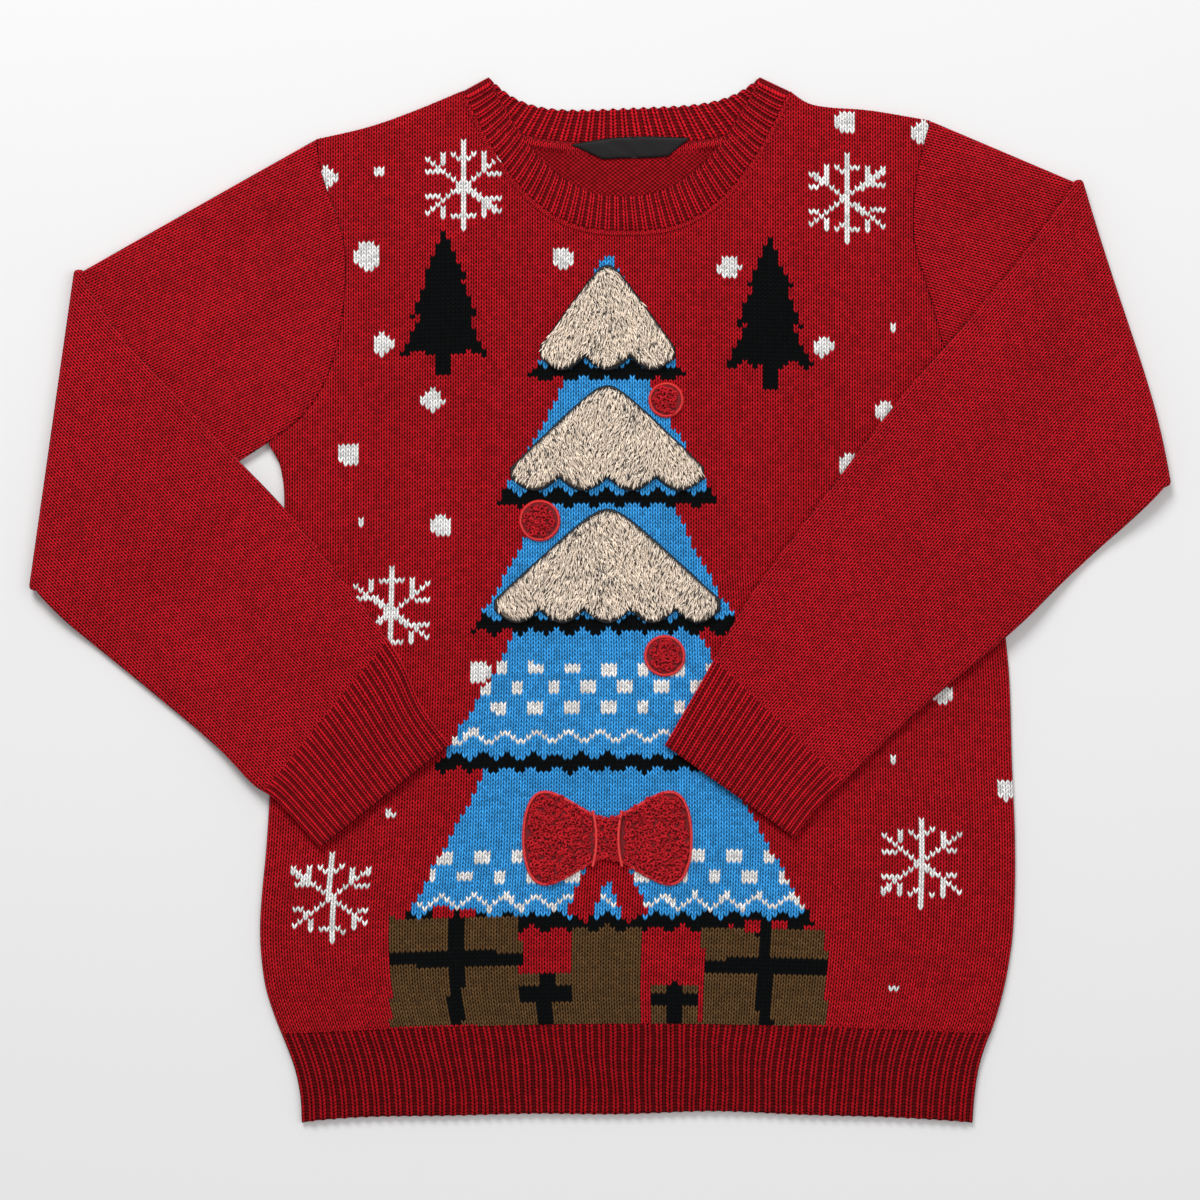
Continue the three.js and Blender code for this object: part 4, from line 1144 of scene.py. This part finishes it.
def satin_stitch(outline, width, height, lap=0.3):
    """Points, faces and UV of a rounded satin-stitch border inside a closed outline."""
    step = np.roll(outline, -1, axis=0) - np.roll(outline, 1, axis=0)
    step /= np.linalg.norm(step, axis=1)[:, None]
    inward = together(-step[:, 1], step[:, 0])
    shares = np.linspace(0, 1, 7)[:, None]
    count = len(outline)
    uneven = 0.12 * np.sin(np.arange(count) * 1.9) + 0.1 * np.sin(np.arange(count) * 0.73)
    plan = outline[None] + inward[None] * ((width + uneven) * shares - lap)[..., None]
    lift = height * np.sin(np.pi * shares) ** 0.6 * (1 + 0.5 * uneven) - 0.25
    x, y = plan[..., 0], plan[..., 1]
    points = together(x, y, patch_base(x, y) - SEAM + lift)
    run = np.cumsum(np.linalg.norm(np.diff(outline, axis=0, prepend=outline[-1:]), axis=1))
    uv = together(run, shares)
    # the outline runs anticlockwise, so its rows go inwards to the left of it
    return points.reshape(-1, 3), quads(7, count, wrap=True), uv.reshape(-1, 2)


def even_outline(points, step=1.1):
    """A closed outline with points at even steps."""
    points = np.vstack([points, points[:1]])
    length = run_along(points)
    at = np.linspace(0, length[-1], int(length[-1] / step), endpoint=False)
    return np.stack([np.interp(at, length, points[:, k]) for k in range(2)], axis=-1)


def tubes(paths, radii, sides):
    """Points and faces of thin tubes along paths (tube, point, xyz) with radii (tube, point)."""
    along = np.gradient(paths, axis=1)
    along /= np.linalg.norm(along, axis=2)[..., None]
    other = np.where(np.abs(along[..., 2:]) > 0.9, [1.0, 0, 0], [0, 0, 1.0])
    first = np.cross(along, other)
    first /= np.linalg.norm(first, axis=2)[..., None]
    second = np.cross(along, first)
    angle = np.linspace(0, 2 * np.pi, sides, endpoint=False)
    ring = (
        first[..., None, :] * np.cos(angle)[:, None] + second[..., None, :] * np.sin(angle)[:, None]
    )
    points = paths[..., None, :] + ring * radii[..., None, None]
    count, steps = paths.shape[:2]
    one = quads(steps, sides, wrap=True)
    faces = one[None] + (np.arange(count) * steps * sides)[:, None, None]
    return points.reshape(-1, 3), faces.reshape(-1, 4)


def thread_material(name, colour):
    """Shiny embroidery thread lying across its border."""
    material, tree, shader = new_material(name, colour, 0.42)
    place = shader_node(tree, "UVMap", uv_map="stitches")
    split = shader_node(tree, "SeparateXYZ", Vector=place.outputs["UV"])
    strand = node_value(tree, "SINE", node_value(tree, "MULTIPLY", split.outputs["X"], 2 * math.pi / 0.55))
    bump = shader_node(tree, "Bump", Strength=0.5, Distance=0.15 * MM, Height=strand)
    tree.links.new(bump.outputs["Normal"], shader.inputs["Normal"])
    return material


def pile_material(name):
    """Matt fibres in the colours of the piece's `yarn` attribute."""
    material, tree, shader = new_material(name)
    shader.inputs["Specular IOR Level"].default_value = 0.2
    paint = shader_node(tree, "Attribute", attribute_name="yarn")
    tree.links.new(paint.outputs["Color"], shader.inputs["Base Color"])
    return material


def bordered_patch(name, ground, ground_faces, border, fabric, thread):
    """A patch of fabric and its satin-stitched border as one piece."""
    edge_points, edge_faces, edge_uv = border
    piece = cloth_mesh(
        name + "_fabric",
        np.concatenate([ground.reshape(-1, 3), edge_points]),
        np.concatenate([ground_faces, edge_faces + ground.size // 3]),
        np.concatenate([ground[..., :2].reshape(-1, 2), edge_uv]),
    )
    piece.data.materials.append(fabric)
    piece.data.materials.append(thread)
    in_border = np.arange(len(piece.data.polygons)) >= len(ground_faces)
    piece.data.polygons.foreach_set("material_index", in_border.astype(np.int32))
    return piece


black_thread = thread_material("black_thread", STITCH_BLACK)
fur_fibres = pile_material("fur_fibres")
fur_ground_shade, _, _ = new_material("fur_ground_shade", FUR_GROUND_IN_PAINTED_SHADE, GROUND_ROUGHNESS)
chance = np.random.default_rng(11)
for name, top, bottom, half_width, scallops in SNOW_BANKS:
    def lower_line(u):
        return bottom + SCALLOP_DEPTH * (1 - np.abs(np.sin(np.pi * scallops * (u + 1) / 2)))

    def upper_line(u):
        rise = (np.hypot(1, SNOW_PEAK) - np.hypot(u, SNOW_PEAK)) / (np.hypot(1, SNOW_PEAK) - SNOW_PEAK)
        return blend(bottom + SCALLOP_DEPTH + SNOW_TIP, top, rise)

    u, share = np.meshgrid(np.linspace(-0.985, 0.985, 80), np.linspace(0.02, 0.98, 24))
    x, y = TREE_X + half_width * u, blend(lower_line(u), upper_line(u), share)
    rim = np.minimum(1, 9 * np.minimum(share, 1 - share)) * np.minimum(1, 9 * (1 - np.abs(u)))
    ground = together(x, y, patch_base(x, y) - SEAM - 0.2 + 2.0 * rim**0.5)
    u = np.linspace(-1, 1, 400)
    outline = even_outline(np.concatenate([
        together(TREE_X + half_width * u, lower_line(u)),
        together(TREE_X + half_width * u[::-1], upper_line(u[::-1])),
    ]))
    border = satin_stitch(outline, *FUR_BORDER)
    bank = bordered_patch(name, ground, quads(*x.shape), border, fur_ground_shade, black_thread)

    # Tufts of pile, each a tapered lock that bends down the sweater
    gx, gy = np.meshgrid(
        np.arange(TREE_X - half_width, TREE_X + half_width, TUFT_SPACING),
        np.arange(bottom, top, TUFT_SPACING),
    )
    gx, gy = (g.ravel() + chance.uniform(-0.6, 0.6, g.size) for g in (gx, gy))
    u = np.clip((gx - TREE_X) / half_width, -1, 1)
    kept = (gy > lower_line(u) + 5.8) & (gy < upper_line(u) - 1.6) & (np.abs(u) < 0.97)
    gx, gy = gx[kept], gy[kept]
    count = len(gx)
    length = chance.uniform(4.6, 7.0, count)
    comb = 0.5 * np.sin(gx / 13 + gy / 29) + 0.25 * np.sin(gx / 5.1 - gy / 7)
    heading = -np.pi / 2 + comb * 0.55 + chance.normal(0, 0.3, count)
    shares = np.array([0, 0.45, 0.8, 1.0])
    up = np.array([0, 0.55, 0.7, 0.72]) * chance.uniform(0.55, 1.0, count)[:, None]
    out = np.array([0, 0.3, 0.66, 0.88])
    z0 = patch_base(gx, gy) + 1.2
    paths = together(
        gx[:, None] + np.cos(heading)[:, None] * out * length[:, None],
        gy[:, None] + np.sin(heading)[:, None] * out * length[:, None],
        z0[:, None] + up * length[:, None] * 0.95,
    )
    radii = np.array([0.5, 0.62, 0.38, 0.06]) * chance.uniform(0.75, 1.2, count)[:, None]
    points, faces = tubes(paths, radii, 3)
    tone = chance.uniform(0.72, 1.12, count)[:, None]
    streak = 0.5 + 0.5 * np.sin(gx / 7.3 + 2.1 * np.sin(gy / 17)) * np.sin(gy / 11 - gx / 31)
    dark = chance.random(count) < 0.06 + 0.26 * streak**3
    colour = np.repeat(PILE_CREAM[None], count, axis=0) * tone
    # Painted shade at the root of each tuft (its colour × 0.55) and a painted highlight on light tips (×
    # 1.08); the dark tips are the pile's own colour
    tip = np.where(dark[:, None], PILE_DARK, colour * 1.08)
    middle = np.where((dark & (chance.random(count) < 0.35))[:, None], PILE_DARK * 3, colour)
    yarns = np.stack([colour * 0.55, middle, tip], axis=1).repeat(3, axis=1).reshape(-1, 3)
    pile = cloth_mesh(name + "_pile", points, faces, yarn=yarns)
    pile.data.materials.append(fur_fibres)
    for piece in (bank, pile):
        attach(piece, "root")
        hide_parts(name)

# Bow and baubles
# Four pieces of red looped fabric: small curled knots of yarn all over, and a brighter red satin
# stitch round the edge and on both sides of the bow's knot.
# name, centre x, y, half width, half height, waist, bluntness of the lobes
LOOP_PATCHES = [
    ("bow", 5, -162, 58, 54, 0.24, 0.6),
    ("bauble_upper", 45, 136, 12, 12, 1, 1),
    ("bauble_middle", -41, 54, 14, 14, 1, 1),
    ("bauble_lower", 44, -38, 14, 14, 1, 1),
]
LOOP_RED = np.array([0.47, 0.0095, 0.0165])
# The looped fabric's ground is coloured a dark red: painted shade among the curls
LOOP_GROUND_IN_PAINTED_SHADE = (0.16, 0.005, 0.008)
LOOP_BORDER = (2.6, 2.4)
THREAD_RED = (0.68, 0.022, 0.022)
CURL_SPACING = 2.7
CURL_STEPS = 10
BOW_KNOT = 10  # half width of the bow's knot
BOW_KNOT_HEIGHT = 19  # and its half height

red_thread = thread_material("red_thread", THREAD_RED)
loop_fibres = pile_material("loop_fibres")
loop_ground_shade, _, _ = new_material("loop_ground_shade", LOOP_GROUND_IN_PAINTED_SHADE, GROUND_ROUGHNESS)
for name, middle_x, middle_y, half_width, half_height, waist, blunt in LOOP_PATCHES:
    def lobes(angle, size):
        side = np.abs(np.cos(angle))
        x = middle_x + half_width * size * np.sign(np.cos(angle)) * side**blunt
        y = middle_y + half_height * size * np.sin(angle) * blend(waist, 1, side**0.8)
        return x, y

    angle, size = np.meshgrid(np.linspace(0, 2 * np.pi, 129)[:-1], np.linspace(0.985, 0.02, 14))
    x, y = lobes(angle, size)
    rim = np.minimum(1, 9 * (1 - size)) ** 0.5
    ground = together(x, y, patch_base(x, y) - SEAM - 0.2 + 1.5 * rim)
    outline = even_outline(np.stack(lobes(np.linspace(0, 2 * np.pi, 900, endpoint=False), 1), axis=-1))
    border = satin_stitch(outline, *LOOP_BORDER)
    ground_faces = quads(*x.shape, wrap=True)
    patch = bordered_patch(name, ground, ground_faces, border, loop_ground_shade, red_thread)

    gx, gy = np.meshgrid(
        np.arange(-half_width, half_width + 1, CURL_SPACING),
        np.arange(-half_height, half_height + 1, CURL_SPACING),
    )
    gx = gx + (np.arange(len(gx))[:, None] % 2) * CURL_SPACING / 2
    gx, gy = (g.ravel() + chance.uniform(-0.9, 0.9, g.size) for g in (gx, gy))
    gx, gy = middle_x + gx, middle_y + gy
    inner = np.stack(lobes(np.linspace(0, 2 * np.pi, 90, endpoint=False), 1 - 3.4 / half_width), axis=-1)
    kept = outside([tuple(point) for point in inner], gx, gy) == 0
    if waist < 1:
        kept &= np.abs(np.abs(gx - middle_x) - BOW_KNOT) > 1.6
    gx, gy = gx[kept], gy[kept]
    count = len(gx)
    start = chance.uniform(0, 2 * np.pi, count)[:, None]
    turn = start + np.linspace(0, 1, CURL_STEPS) * chance.uniform(4.0, 6.6, count)[:, None]
    radius = chance.uniform(1.05, 1.75, count)[:, None] * np.linspace(1.0, 0.75, CURL_STEPS)
    tilt = chance.uniform(-0.9, 0.9, (2, count, 1))
    px, py = radius * np.cos(turn), radius * np.sin(turn)
    height = patch_base(gx, gy) + 1.3 + chance.uniform(0, 0.9, count)
    paths = together(
        gx[:, None] + px, gy[:, None] + py * 0.95,
        height[:, None] + tilt[0] * px + tilt[1] * py * 0.6,
    )
    taper = np.concatenate([[0.6], np.ones(CURL_STEPS - 2), [0.5]])
    radii = chance.uniform(0.62, 0.9, count)[:, None] * taper
    points, faces = tubes(paths, radii, 5)
    tone = chance.uniform(0.7, 1.15, count)[:, None]
    curls = cloth_mesh(
        name + "_loops", points, faces, yarn=np.repeat(LOOP_RED * tone, len(faces) // count, axis=0)
    )
    curls.data.materials.append(loop_fibres)
    pieces = [patch, curls]
    if waist < 1:
        rows = np.linspace(-1, 1, 40)
        for side in (-1, 1):
            line_x = middle_x + side * (BOW_KNOT - 2.5 * (1 - rows**2))
            line_y = middle_y + rows * BOW_KNOT_HEIGHT
            line = together(line_x, line_y, patch_base(line_x, line_y) + 2.6)[None]
            points, faces = tubes(line, np.full((1, 40), 1.05), 8)
            seam = cloth_mesh(
                "bow_knot_stitch_" + ("right" if side < 0 else "left"), points, faces,
                together(np.repeat(line_y, 8), np.tile(np.arange(8), 40)),
            )
            seam.data.materials.append(red_thread)
            pieces.append(seam)
    for piece in pieces:
        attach(piece, "root")
        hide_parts(name)
